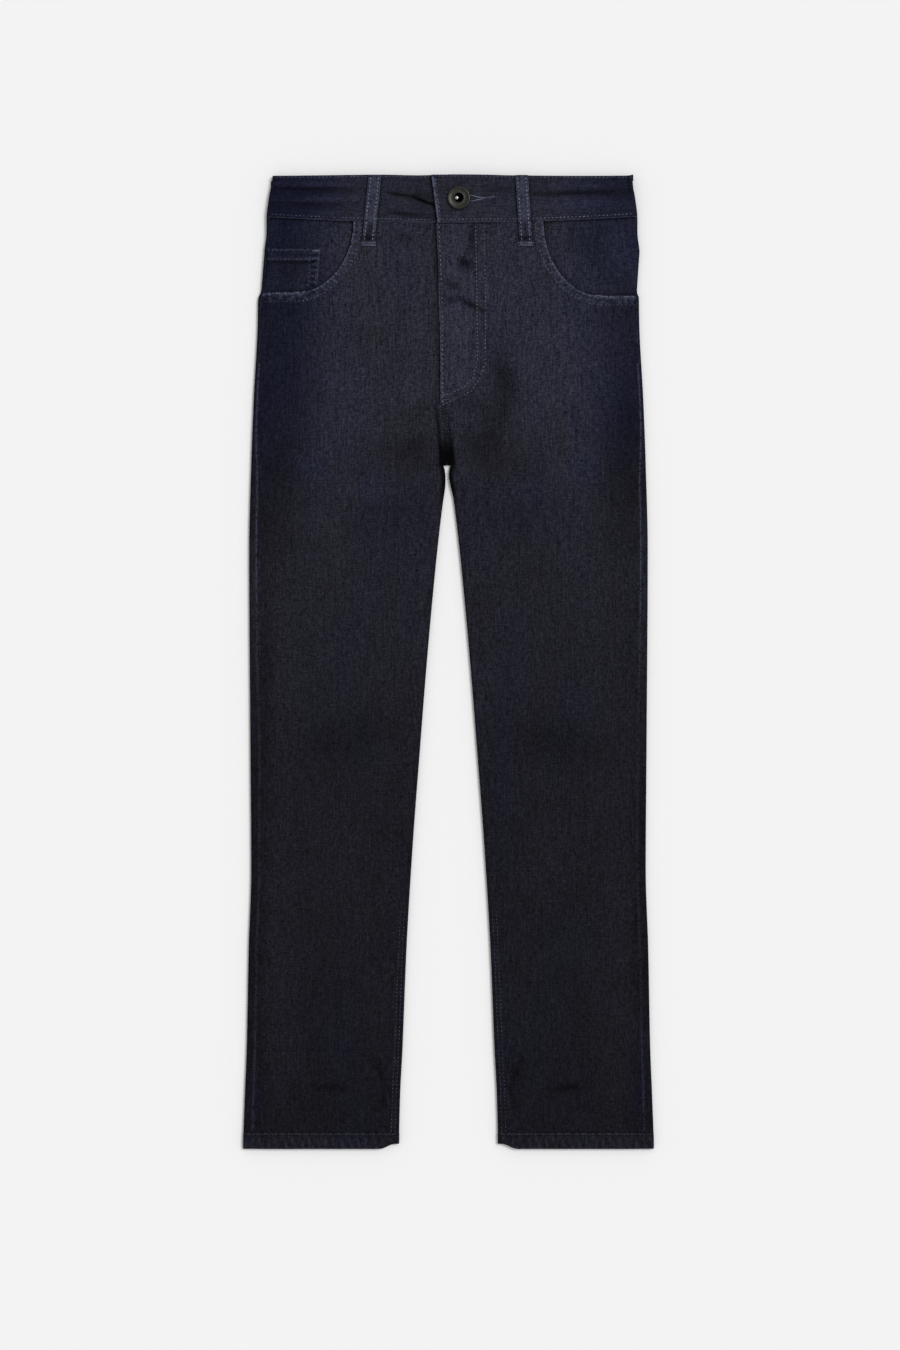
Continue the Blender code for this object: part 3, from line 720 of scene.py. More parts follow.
def front_rows(side):
    """Rows of points up the leg, then rows that bend round to the pocket's mouth."""
    even = spaced(54)[2:-2]
    columns = np.concatenate([[0, 0.002, 0.005, 0.01], even, [0.987, 0.992, 0.996, 0.9982, 1]])
    mouth_up = POCKET_MOUTH_UP[side] / MM
    close = mouth_up - np.array([5, 3, 1.9, 1.1, 0.5])
    ups = np.concatenate([np.arange(16.2, 679, 3.2), NOTCH, np.arange(687.5, mouth_up - 6, 2.2), close]) * MM
    grid = []
    for up in ups:
        end = outer_x(side, up) - side * (inset(up) + SEAM)
        if up <= CROTCH_UP:
            middle = inner_x(side, up) + side * INSEAM_ROLL
            a = np.linspace(fold_angle(up), math.radians(90), 8)[:-1]
            fold = arc(middle, INSEAM_ROLL, INSEAM_ROLL, -side, a, up)
            x = mix(middle, end, columns)
            grid.append(np.concatenate([fold, points(x, up, front_face(side, x, up))]))
            continue
        lap = FLY_LAP * ramp(up - FLY_END_UP, 12, 25) if side < 0 else 0.0
        seam = front_seam_x(up) + side * SEAM / 2 + lap
        start = seam + side * (CROTCH_ROLL + 1.3 * lap)
        x = np.concatenate([np.linspace(seam, start, 8)[:-1], mix(start, end, columns)])
        grid.append(points(x, up, front_face(side, x, up)))
    for t in np.concatenate([np.linspace(1, 0.8, 20), np.linspace(MOUTH_TURN, 0, 70)]):
        end_x, end_up = pocket_mouth(side, np.array(t))
        lap = FLY_LAP if side < 0 else 0.0
        seam = fly_x(end_up) + side * SEAM / 2 + lap
        seam_up = mix(band_foot(seam) - SEAM, POCKET_MOUTH_UP[side], t)
        start = (CROTCH_ROLL + 1.3 * lap) / abs(end_x - seam)
        s = np.concatenate([np.linspace(0, start, 8)[:-1], mix(start, 1, columns)])
        x = mix(seam, end_x, s)
        up = mix(seam_up, end_up, s) - BAND_CURVE * (end_x - seam) ** 2 * (1 - t) * s * (1 - s)
        beyond = np.abs(x) > POCKET_TOP_U + POCKET_WIDE
        up = np.where(beyond, np.minimum(up, POCKET_MOUTH_UP[side]), up)
        grid.append(points(x, up, front_face(side, x, up)))
    return np.array(grid)


def front_wear_and_shade(side, x, up, mouth, far):
    """How much wear a front panel shows, and where shade is painted on it; mouth and far say how near its
    pocket's mouth, and where along it.
    """
    on_hip = up > HIP_UP
    crisp = mix(0.72, 1.5, ramp(np.abs(x), 128, 20))
    wear_and_shade = np.where(on_hip, crisp * peak(mouth, 1.1), 0)
    roped = np.sin(far / (0.62 * MM) + mouth / (2 * MM)) + 0.8 * np.sin(far / (0.97 * MM) + 1)
    wear_and_shade = wear_and_shade + np.where(on_hip, (0.02 + 0.24 * roped) * fall(mouth, 8.2, 1.5), 0)
    outseam = np.abs(outer_x(side, up) - x) - inset(up)
    plain = 0.13 + 0.36 * ramp(up, 440, 160) + 0.1 * fall(up, 140, 60)
    wear_and_shade = np.maximum(wear_and_shade, plain * peak(outseam, 1.2) * (up < 785 * MM))
    edge = x - fly_x(up)
    flap = ramp(up, 742, 8)
    if side > 0:
        wear_and_shade = np.maximum(wear_and_shade, 0.75 * peak(edge, 1.1) * flap)
        bloom = ramp(up, 752, 24) * fall(up, 922, 14)
        wear_and_shade = wear_and_shade + 0.1 * peak(x - 8 * MM, 14) * bloom
    else:
        # Painted shadow along the fly's edge, on the panel that lies under the flap.
        wear_and_shade = wear_and_shade - 0.95 * np.exp(np.minimum(edge, 0) / (2.4 * MM)) * flap
    # Painted shade: near black in the crotch where the legs meet, and darker beside the crotch seam.
    seam = np.abs(x - front_seam_x(up))
    crotch = fall(up, 726, 34) * (up >= CROTCH_UP)
    wedge = mix(7.5 * MM, 4.5 * MM, ramp(up - CROTCH_UP, 0, 30))
    wear_and_shade = wear_and_shade - 1.05 * crotch * np.exp(-((seam / wedge) ** 4))
    wide = mix(6.2 * MM, 4.4 * MM, ramp(up, 700, 44))
    beside = peak(seam - wide, 2.0) * fall(up, 752, 20)
    wear_and_shade = wear_and_shade - 0.75 * beside * (up >= CROTCH_UP)
    # Painted shade down the fold of each inseam, near black close to the crotch.
    fold_side = np.abs(x - inner_x(side, up)) / (4.5 * MM)
    wear_and_shade = wear_and_shade - 1.0 * np.exp(-(fold_side ** 4)) * ramp(up, 636, 26) * (up < CROTCH_UP)
    wear_and_shade = wear_and_shade - 0.45 * np.exp(-((fold_side * 4.5 / 1.6) ** 2)) * (up < 640 * MM)
    # Painted shadow beside the belt loops.
    loop = np.abs(x - loop_middle(word, up)) - LOOP_WIDTH / 2
    wear_and_shade = wear_and_shade - 0.6 * peak(loop, 1.6) * (up > 902 * MM)
    # Painted shade in the troughs of the creases.
    return wear_and_shade + 0.8 * np.minimum(0, creases(FRONT_CREASES, x, up) / (0.8 * MM))


def front_panel(word, side):
    grid = front_rows(side)
    x, up = spread(grid)
    grid[..., 2] += seam_relief(FRONT_LINES[side], x, up)
    mouth, far = nearness(line_of(pocket_mouth(side, T)), x, up, MOUTH_REACH)
    grid[..., 2] += np.where(up > HIP_UP, 0.35 * MM * (1 - ramp(mouth, 7, 3)), 0)
    wear_and_shade = front_wear_and_shade(side, x, up, mouth, far)
    shell(f"front_panel_cloth_{word}", grid, DENIM, DENIM_LOOK, [f"front_panel_{word}"], 1, wear_and_shade)


# ---------------------------------------------------------------- back panels and yokes

def under_rows(side, row_ups, up_of):
    """Rows of the back: up_of(x, row) gives each point's height up from the hem."""
    grid = []
    for row in row_ups:
        up0 = float(up_of(np.array(0.0), row))
        side_up = float(up_of(np.array(outer_x(side, up0)), row))
        low = float(seat_lift(outer_x(side, side_up), side_up))
        radius = (float(edge_top(side_up)) - low) / 2
        middle = float(outer_x(side, side_up)) - side * radius
        made = []
        if up0 <= CROTCH_UP:
            start = float(inner_x(side, up0)) + side * INSEAM_ROLL
            a = np.linspace(fold_angle(up0) - 0.1, math.radians(-90), 9)[:-1]
            made.append(arc(start, INSEAM_ROLL, INSEAM_ROLL, -side, a, up0))
        else:
            seam = float(back_seam_x(up0)) + side * SEAM / 2
            start = seam + side * CROTCH_ROLL
            x = np.linspace(seam, start, 9)[:-1]
            up = up_of(x, row)
            made.append(points(x, up, seat_lift(x, up)))
        x = np.linspace(start, middle, 44)[:-1]
        up = up_of(x, row)
        made.append(points(x, up, seat_lift(x, up)))
        a = np.radians(np.linspace(-90, 90, 13))
        made.append(arc(middle, low + radius, radius, side, a, side_up))
        seam = float(outer_x(side, side_up) - side * inset(side_up))
        x = np.linspace(middle, seam, 5)[1:]
        soft = ripple(x, side_up) * smooth(np.abs(x - middle) / (4 * MM))
        made.append(points(x, side_up, front_z(side, x, side_up) + soft))
        grid.append(np.concatenate(made))
    grid = np.array(grid)
    x, up = spread(grid)
    flat = grid[..., 2] < 2.5 * MM
    grid[..., 2] += np.where(flat, np.maximum(0, -creases(BACK_CREASES, x, up)), 0)
    return grid


def side_wear_and_shade(side, grid):
    x, up = spread(grid)
    at_seam = np.abs(outer_x(side, up) - x) - inset(up)
    top = grid[..., 2] > 4.5 * MM
    # Painted shade: darker along the outer fold, where the cloth turns down away from the light; the pale
    # line at the outseam is wear.
    rim = peak(np.abs(outer_x(side, up) - x), 1.3)
    return np.where(top, 0.15 * peak(at_seam, 0.8), 0) - 0.55 * rim


def back_panel(word, side):
    leg, seat = np.append(np.arange(16.2, 660, 5), np.arange(660, 679, 3)), np.arange(688, 862, 3.5)
    ups = np.concatenate([leg, NOTCH, seat]) * MM
    plain = under_rows(side, ups, lambda x, row: row + 0 * x)
    last = under_rows(side, [0], lambda x, row: yoke_seam(x) - SEAM / 2)
    grid = np.concatenate([plain, last])
    wear_and_shade = side_wear_and_shade(side, grid)
    shell(f"back_panel_cloth_{word}", grid, DENIM, DENIM_LOOK, [f"back_panel_{word}"], -1, wear_and_shade)


def yoke(word, side):
    def up_of(x, t):
        return mix(yoke_seam(x) + SEAM / 2, band_foot(x) - SEAM, t)

    grid = under_rows(side, np.linspace(0, 1, 18), up_of)
    shell(f"yoke_cloth_{word}", grid, DENIM, DENIM_LOOK, [f"yoke_{word}"], -1, side_wear_and_shade(side, grid))


# ---------------------------------------------------------------- pockets

def facing_face(side, x, up):
    edge = ramp(np.abs(outer_x(side, up) - x), 3, 10)
    level = mix(4.7 * MM, 5.0 * MM, ramp(up, 890, 30))
    soft = 0.12 * MM * np.sin(x / (13 * MM) + up / (19 * MM))
    return mix(edge_top(up), level + soft, edge)


def pocket_facing(word, side):
    t = np.linspace(0, 1, 34)[:, None]
    side_x = abs(float(outer_x(side, 930 * MM))) - 3 * MM - SEAM
    x0, up0 = pocket_mouth(side, t)
    hidden = 12 * MM * (1 - ramp(np.abs(x0), 136, 20))
    turn = math.radians(90) * np.minimum(1, t / MOUTH_TURN)
    x0 = x0 - side * hidden * np.cos(turn)
    up0 = up0 - np.maximum(hidden, 1 * MM) * np.sin(turn)
    top_x = mix(side * POCKET_TOP_U, side * side_x, np.minimum(1, t / 0.5))
    down = np.clip((t - 0.5) / 0.5, 0, 1)
    side_up = mix(band_foot(side * side_x) - SEAM, POCKET_MOUTH_UP[side] - 1 * MM, down)
    x1 = np.where(t <= 0.5, top_x, outer_x(side, side_up) - side * (inset(side_up) + SEAM))
    up1 = np.where(t <= 0.5, band_foot(top_x) - SEAM, side_up)
    s = np.linspace(0, 1, 30)[None, :]
    x, up = mix(x0, x1, s), mix(up0, up1, s)
    z = facing_face(side, x, up)
    mouth, _ = nearness(line_of(pocket_mouth(side, T)), x, up, MOUTH_REACH)
    z = z - 1.2 * MM * smooth(1.2 - mouth / (5 * MM))
    # Painted shadow under the pocket's mouth and under the waistband's foot.
    wear_and_shade = -0.6 * peak(mouth, 1.8) - 0.4 * peak(band_foot(x) - up, 2)
    grid = points(x, up, z)
    shell(f"pocket_facing_cloth_{word}", grid, 1.0 * MM, DENIM_LOOK, [f"pocket_facing_{word}"], 1, wear_and_shade, 0.08)


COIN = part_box("coin_pocket")
COIN_TOP = COIN[1].y + LENGTH / 2
COIN_IN = COIN[1].x  # its free edge, towards the fly
COIN_ROWS = [
    [(-182, 898.2), (-130, 898.2)], [(-182, 889.6), (-130, 889.6)],
    [(-130.5, 898), (-133.4, 864)], [(-138, 898), (-140.4, 862)],
]


def coin_edge(up):
    return COIN_IN + mix(-3.5 * MM, 0, (up - 858 * MM) / (COIN_TOP - 858 * MM))


def coin_face(x, up):
    hem = 0.5 * MM * smooth((up - COIN_TOP + 11.5 * MM) / (1.2 * MM))
    edge = 0.35 * MM * smooth((x - coin_edge(up) + 11 * MM) / (1.5 * MM))
    drop = 0.6 * MM * np.exp(-np.abs(coin_edge(up) - x) / (0.7 * MM))
    return facing_face(-1, x, up) + SEAM + STRIP + 0.15 * MM + np.maximum(hem, edge) - drop


def coin_pocket():
    s = np.linspace(0, 1, 40)[None, :]
    t = np.linspace(0, 1, 30)[:, None]
    level = mix(POCKET_MOUTH_UP[-1], COIN_TOP, t) + 0 * s
    x = mix(outer_x(-1, level) + inset(level) + 0.4 * MM, coin_edge(level), s)
    over = np.clip(1 - (np.abs(x) - POCKET_TOP_U) / POCKET_WIDE, 0, 1)
    top = band_foot(x) - SEAM - POCKET_MOUTH_UP[-1]
    foot = POCKET_MOUTH_UP[-1] + top * (1 - np.sqrt(1 - over ** 2)) + 0.2 * MM
    up = mix(foot, COIN_TOP, t)
    z = coin_face(x, up)
    z = z + seam_relief(COIN_ROWS, x, up)
    mouth, _ = nearness(line_of(pocket_mouth(-1, T)), x, up, MOUTH_REACH)
    z = z - 1.9 * MM * smooth(1.1 - mouth / (5 * MM))
    wear_and_shade = 0.4 * peak(COIN_TOP - up, 0.8) + 0.45 * peak(coin_edge(up) - x, 1.1)
    # Painted shadow under the front pocket's mouth.
    wear_and_shade = wear_and_shade - 0.6 * peak(mouth, 1.6)
    wear_and_shade = wear_and_shade + 0.3 * peak(up - 890 * MM, 0.9)
    # Painted shadow under the coin pocket's hem.
    wear_and_shade = wear_and_shade - 0.7 * peak(up - 886.6 * MM, 1.4) * (x < coin_edge(up) - 5 * MM)
    rubbed = (0.55 * np.sin(up / (0.95 * MM)) - 0.25) * peak(coin_edge(up) - x - 5 * MM, 3.2)
    shell("coin_pocket_cloth", points(x, up, z), STRIP, DENIM_LOOK, ["coin_pocket"], 1, wear_and_shade + rubbed, 0.2)


def back_pocket(word):
    """Seen only from below: a patch with a pointed foot under the seat."""
    low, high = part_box(f"back_pocket_{word}")
    s = np.linspace(0, 1, 32)[None, :]
    t = np.linspace(0, 1, 32)[:, None]
    taper = 8 * MM * (1 - t)
    x = mix(low.x + taper, high.x - taper, s)
    foot = low.y + 18 * MM * np.abs(2 * s - 1)
    y = mix(foot, high.y, t)
    z = 0.05 * MM + 0.12 * MM * np.exp(-np.minimum(s, 1 - s) * 60) + 0 * x
    grid = stacked(x, y, z)
    shell(f"back_pocket_cloth_{word}", grid, STRIP - 0.1 * MM, DENIM_LOOK, [f"back_pocket_{word}"], -1)


# ---------------------------------------------------------------- waistband, loops and hems

def band_top_edge(x):
    """The top edge isn't quite straight."""
    return LENGTH + MM * (-0.2 + 0.7 * np.sin(x / (52 * MM) + 2.2) - 0.9 * peak(x + 32 * MM, 24))


def lap_z(x):
    return mix(BAND_TOP + BAND + 0.3 * MM, BAND_TOP, ramp(x - UNDER_END_X, 4, 26))


def band_end_x(up):
    """The buttoned end slants a little."""
    return mix(-10.6 * MM, -17.2 * MM, (up - 924 * MM) / (50 * MM))


def band_relief(x, up):
    foot, head = band_foot(x), band_top_edge(x)
    edge = np.exp(-(up - foot) / (0.9 * MM)) + np.exp(-(head - up) / (0.9 * MM))
    lines = peak(up - foot - FOOT_ROW * MM, 0.8) + peak(head - up - TOP_ROW * MM, 0.7)
    below = ramp(up - foot, 0, 6)
    pucker = np.sin(x / (1.7 * MM)) * peak(up - foot - 3 * MM, 3)
    rolled = 0.15 * MM * below - 0.7 * MM * edge
    return creases(BAND_CREASES, x, up) + rolled - 0.15 * MM * lines + 0.06 * MM * pucker


def band_face(x, up):
    return np.where(x > band_end_x(up), lap_z(x), BAND_TOP) + band_relief(x, up)


def under_band_face(x, up):
    return BAND_TOP + band_relief(x, up) + 0 * x


def waistband():
    rows = np.concatenate([[0, 0.012, 0.03, 0.055], np.linspace(0.08, 0.93, 34), [0.955, 0.975, 0.99, 1]])
    low = SEAT_LIFT
    radius = (BAND_TOP - low) / 2
    edge_x = {side: float(outer_x(side, 950 * MM)) - side * (radius + 1 * MM) for side in (-1, 1)}
    columns = []

    def on_front(x, z_of):
        up = mix(band_foot(x), band_top_edge(x), rows)
        columns.append(points(x, up, z_of(x, up)))

    def on_fold(side, degrees):
        a = math.radians(degrees)
        foot, head = band_foot(edge_x[side]), band_top_edge(edge_x[side])
        up = mix(foot, head, rows)
        middle = outer_x(side, up) - side * radius
        sag = band_relief(np.full_like(up, edge_x[side]), up) * max(0.0, math.sin(a))
        columns.append(arc(middle, low + radius + sag, radius, side, a, up))

    for x in np.arange(UNDER_END_X, edge_x[-1], -2.0 * MM):
        on_front(x, under_band_face)
    for degrees in range(90, -91, -15):
        on_fold(-1, degrees)
    for x in np.arange(edge_x[-1], edge_x[1], 6 * MM):
        up = mix(band_foot(x), band_top_edge(x), rows)
        columns.append(points(x, up, low + 0 * up))
    for degrees in range(-90, 91, 15):
        on_fold(1, degrees)
    for x in np.arange(edge_x[1], 0, -2.0 * MM):
        on_front(x, band_face)
    for t in np.append(np.linspace(0.08, 0.9, 10), [0.94, 0.97, 0.99, 1]):
        up = mix(band_foot(-12 * MM), band_top_edge(-12 * MM), rows)
        x = mix(0, band_end_x(up), t)
        z = lap_z(x) + band_relief(x, up) - 0.5 * MM * np.exp(-(x - band_end_x(up)) / (0.9 * MM))
        columns.append(points(x, up, z))
    grid = np.array(columns)
    x, up = spread(grid)
    top = grid[..., 2] > 5.5 * MM
    wear_and_shade = 0.4 * peak(up - band_foot(x), 0.8)
    wear_and_shade = wear_and_shade + 0.35 * peak(band_top_edge(x) - up, 0.8)
    lapped = grid[..., 2] > 8.5 * MM
    end = x - band_end_x(up)
    wear_and_shade = wear_and_shade + 0.85 * peak(end, 2.3, 4) * lapped
    # Painted shadow beside the buttoned end, where it laps over.
    wear_and_shade = wear_and_shade - 0.95 * peak(end, 2.8) * ~lapped
    over_end = lapped & (x < 30 * MM)
    # Painted shade in the troughs of the creases, except on the lapped end.
    wear_and_shade = wear_and_shade + 0.95 * np.minimum(0, creases(BAND_CREASES, x, up) / (0.8 * MM)) * ~over_end
    # Painted shadow beside the belt loops.
    for word in SIDES:
        loop = np.abs(x - loop_middle(word, up)) - LOOP_WIDTH / 2
        wear_and_shade = wear_and_shade - 0.7 * peak(loop, 1.6)
    shell("waistband_cloth", grid, BAND - 0.1 * MM, BAND_LOOK, ["waistband"], 1, np.where(top, wear_and_shade, 0))


def loop_middle(word, up):
    top, foot = FRONT_LOOPS[word]
    return mix(foot, top, (up - LOOP_FOOT_UP) / (LENGTH - LOOP_FOOT_UP))


def loop_face(word):
    side = SIDES[word]
    band_z = BAND_TOP + 0.3 * MM + STRIP

    def face(x, up):
        middle = loop_middle(word, up)
        over = ramp(up, 914, 11)
        base = mix(front_z(side, middle, up) + SEAM + STRIP + 0.2 * MM, band_z + 0.2 * MM, over)
        off = np.abs(x - middle) / (LOOP_WIDTH / 2)
        arch = 0.55 * MM * (1 - off ** 6) - 0.5 * MM - 0.25 * MM * np.exp(-((off - 0.66) / 0.1) ** 2)
        belly = 0.5 * MM * peak(up - 938 * MM, 10)
        foot = -0.5 * MM * peak(up - 907 * MM, 2.5)
        return base + arch + belly + foot

    return face


def front_loop(word):
    face = loop_face(word)
    up = np.linspace(LOOP_FOOT_UP - 0.5 * MM, 973.6 * MM, 48)[:, None]
    off = np.linspace(-1, 1, 19)[None, :]
    x = loop_middle(word, up) + off * LOOP_WIDTH / 2
    wear_and_shade = 0.3 * np.exp(-((1 - off) / 0.1) ** 2) + 0.12 * np.exp(-((1 + off) / 0.1) ** 2)
    wear_and_shade = wear_and_shade + 0.23 + 0.4 * peak(up - LOOP_FOOT_UP, 1.2)
    # Painted shadow just above the bartacks. The middle of the loop's lower part is made darker.
    wear_and_shade = wear_and_shade - 0.75 * peak(up - LOOP_FOOT_UP - 6.6 * MM, 2.4)
    wear_and_shade = wear_and_shade - 0.4 * np.exp(-((off / 0.4) ** 2)) * fall(up, 930, 9)
    grid = points(x, up, face(x, up))
    shell(f"belt_loop_cloth_{word}", grid, STRIP, DENIM_LOOK, [f"belt_loop_front_{word}"], 1, wear_and_shade)


def back_loop(word):
    low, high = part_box(f"belt_loop_back_{word}")
    x = np.linspace(low.x, high.x, 14)[None, :]
    y = np.linspace(low.y, high.y, 30)[:, None]
    off = np.abs(x - (low.x + high.x) / 2) / (high.x - low.x) * 2
    z = 0.05 * MM + 0.2 * MM * off ** 6 + 0 * y
    grid = stacked(x, y, z)
    shell(f"belt_loop_cloth_back_{word}", grid, STRIP - 0.25 * MM, DENIM_LOOK, [f"belt_loop_back_{word}"], -1)


def hem_face(side, x, up):
    inner, outer = inner_x(side, up), outer_x(side, up)
    from_edges = np.minimum(np.abs(x - inner), np.abs(outer - x)) - 2.6 * MM
    rope = np.sin((x + 0.35 * up) / (2.9 * MM)) + 0.5 * np.sin((x - 0.2 * up) / (1.7 * MM))
    rope = 0.10 * MM * rope * smooth(1 - np.abs(up - 9 * MM) / (9 * MM))
    return EDGE_TOP + 0.5 * MM + 0.9 * MM * smooth(from_edges / ROLL) + rope


def hem(word, side):
    radius = (EDGE_TOP + 0.5 * MM) / 2
    grid = []
    for up in np.array([0, 0.4, 1, 2, 3.5, 5.5, 8, 10.5, 12.5, 13.8, 14.6, 15.3, 15.8, 16.05]) * MM:
        inner = float(inner_x(side, up)) + side * (radius - 0.2 * MM)
        outer = float(outer_x(side, up)) - side * (radius - 0.2 * MM)
        shrink = 0.45 * MM * (math.exp(-up / (0.6 * MM)) + math.exp(-(16.05 * MM - up) / (0.35 * MM)))
        dent = 0.14 * MM * peak(up - HEM_ROW * MM, 0.7)
        x = np.linspace(inner, outer, 130)
        corner = 5 * MM if up < 0.1 * MM else 4.7 * MM if up < 5 * MM else 0.0
        foot = corner * (1 - ramp(np.abs(x - inner), 1, 16))
        a = np.radians(np.linspace(90, -90, 13)[1:-1])
        r = radius - shrink * 0.5
        parts = [points(x, up + foot, hem_face(side, x, up) - shrink - dent)]
        parts.append(arc(outer, radius, r, side, a, up))
        under_x = np.linspace(outer, inner, 30)
        under_foot = np.interp(np.abs(under_x - inner), np.abs(x - inner), foot)
        parts.append(points(under_x, up + under_foot, 0.02 * MM + shrink * 0.4))
        parts.append(arc(inner, radius, r, -side, -a, up + foot[0]))
        loop = np.concatenate(parts)
        grid.append(np.concatenate([loop, loop[:1]]))
    grid = np.array(grid)
    x, up = spread(grid)
    rope = np.sin((x + 0.35 * up) / (1.3 * MM)) + 0.7 * np.sin((x - 0.2 * up) / (0.9 * MM) + 1)
    wear_and_shade = 0.16 * peak(up - 0.3 * MM, 0.9) + 0.1 * peak(up - 15.4 * MM, 1.1)
    wear_and_shade = wear_and_shade + 0.07 * rope - 0.3 * peak(up - 13.4 * MM, 0.8)
    shell(f"hem_cloth_{word}", grid, 1.9 * MM, DENIM_LOOK, [f"hem_{word}"], 1, wear_and_shade, level=0.16, ring=True)


# ---------------------------------------------------------------- button and thread

def button():
    low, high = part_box("button")
    middle = (low + high) / 2
    rings = [
        (0, 0.2), (10.4, 0.2), (11.5, 0.7), (11.9, 1.3), (11.75, 2.0), (11.2, 2.55), (10.5, 2.85),
        (9.8, 2.85), (9.3, 2.6), (9.0, 2.45), (5.6, 2.35), (5.1, 2.5), (4.7, 2.45), (4.4, 2.1),
        (4.25, 1.0), (0, 0.9),
    ]
    post = [(1.9, 0.85), (1.85, 1.5), (1.5, 1.85), (0.9, 2.05), (0, 2.1)]
    for name, profile, look, nodes, centre in (
        ("tack_button_cap", rings, BUTTON_LOOK, ["button"], middle.x),
        ("tack_button_post", post, POST_LOOK, [], middle.x - POST_OFF_CENTRE),
    ):
        bm = bmesh.new()
        verts = [bm.verts.new((centre + r * MM, middle.y, low.z + z * MM)) for r, z in profile]
        edges = [bm.edges.new(pair) for pair in zip(verts, verts[1:])]
        bmesh.ops.spin(
            bm, geom=verts + edges, cent=(centre, middle.y, 0), axis=(0, 0, 1),
            angle=math.radians(360), steps=72, use_merge=True,
        )
        bmesh.ops.remove_doubles(bm, verts=bm.verts, dist=0.01 * MM)
        bmesh.ops.recalc_face_normals(bm, faces=bm.faces[:])
        # Painted shade: the centre hole of the cap is painted near black, patina and shade of the recess
        # together.
        hollow = bm.verts.layers.float.new("hollow")
        for vert in bm.verts:
            out = math.hypot(vert.co.x - middle.x, vert.co.y - middle.y)
            vert[hollow] = float(out < 4.8 * MM and look is BUTTON_LOOK)
        stand_for(finish_mesh(name, bm, look), nodes)


def thread_piece(name, build, look):
    bm = bmesh.new()
    build(bm)
    stand_for(finish_mesh(name, bm, look), [])


def outline(box):
    """The left, right, foot and head of a box, in millimetres."""
    low, high = box
    return low.x / MM, high.x / MM, (low.y + LENGTH / 2) / MM, (high.y + LENGTH / 2) / MM


def stitch_front(word, side):
    def face(x, up):
        return front_face(side, x, up) + 0.25 * MM * (up > 848 * MM)

    def rows(bm):
        for line in FRONT_LINES[side]:
            if any(line is mouth for mouth in MOUTH_ROWS[side]):
                sew(bm, along_line(face, line[:TURN_END + 1]), wide=0.55 * MM)
                sew(bm, along_line(face, line[TURN_END:]), wide=0.3 * MM)
            elif line is FLY_EDGE:
                sew(bm, along_line(face, line), pitch=4.7 * MM, wide=1.1 * MM)
            else:
                sew(bm, along_line(face, line), wide=0.85 * MM)
        if side > 0:
            bartack(bm, face, (-7, 748.5), (0, 749.6), 1.6, 7)

    def seams(bm):
        sew(bm, along_line(face, FRONT_SEAM_ROWS[side > 0]), pitch=3.0 * MM, long=1.7 * MM)
        ups = np.arange(16, 240, 0.8) * MM
        for off in (1.2 * MM, 5.2 * MM):
            sew(bm, leg_track(side, ups, off), wide=0.6 * MM)

    thread_piece(f"topstitch_front_{word}", rows, THREAD_LOOK)
    thread_piece(f"seam_stitches_{word}", seams, DULL_THREAD)


def stitch_loop(word):
    face = loop_face(word)

    def rows(bm):
        ups = np.linspace(908, 972, 12)
        for off in (-4.0, 4.0):
            sew(bm, along_line(face, stacked(loop_middle(word, ups * MM) / MM + off, ups)), wide=1.1 * MM)
        foot = FRONT_LOOPS[word][1] / MM
        for up in (906.2, 903.6):
            bartack(bm, face, (foot - 7.6, up), (foot + 7.6, up), 1.9, 14)

    thread_piece(f"belt_loop_stitches_{word}", rows, BRIGHT_THREAD)


def coin_rows(bm):
    for line in COIN_ROWS:
        sew(bm, along_line(coin_face, line))


def coin_tack(bm):
    bartack(bm, coin_face, (-136, 898.3), (-129.5, 898.3), 2.6, 8)


def band_rows(bm):
    halves = (under_band_face, np.linspace(-178, -18, 60)), (band_face, np.linspace(-11, 184, 60))
    for face, xs in halves:
        sew(bm, along_line(face, stacked(xs, band_top_edge(xs * MM) / MM - TOP_ROW)), wide=0.5 * MM)
    for (face, xs), wide in zip(halves, (0.5 * MM, 0.85 * MM)):
        sew(bm, along_line(face, stacked(xs, band_foot(xs * MM) / MM + FOOT_ROW)), wide=wide)
    ups = np.linspace(928, 971, 10)
    sew(bm, along_line(band_face, stacked(band_end_x(ups * MM) / MM + 3.4, ups)))


def hem_rows(bm):
    for side in (-1, 1):
        def face(x, up):
            return hem_face(side, x, up) - 0.1 * MM

        ends = inner_x(side, HEM_ROW * MM) / MM + side * 4, outer_x(side, HEM_ROW * MM) / MM - side * 4
        sew(bm, along_line(face, stacked(np.linspace(*ends, 40), HEM_ROW)), wide=0.36 * MM)


def yoke_rows(bm):
    for side in (-1, 1):
        xs = side * np.linspace(1, 172, 40)
        for off in (2.2, 7):
            sew_under(bm, seat_lift, stacked(xs, yoke_seam(xs * MM) / MM - off))
    for x in (2.2, 7):
        sew_under(bm, seat_lift, [(x, 706), (x, 855)])


def back_band_rows(bm):
    def flat(x, up):
        return SEAT_LIFT + 0 * x

    xs = np.linspace(-176, 176, 60)
    for ups in (band_top_edge(xs * MM) / MM - TOP_ROW, band_foot(xs * MM) / MM + FOOT_ROW):
        sew_under(bm, flat, stacked(xs, ups))


def back_loop_rows(bm):
    for word in BACK_LOOPS:
        left, right, foot, head = outline(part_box(f"belt_loop_back_{word}"))
        for x in (left + 2.4, right - 2.4):
            sew_under(bm, on_surface, [(x, foot + 4), (x, head - 2)])
        for up in (foot + 1.2, foot + 2.6):
            across = [(left + 0.6, up), (right - 0.6, up)]
            sew_under(bm, on_surface, across, pitch=0.9 * MM, long=0.8 * MM)


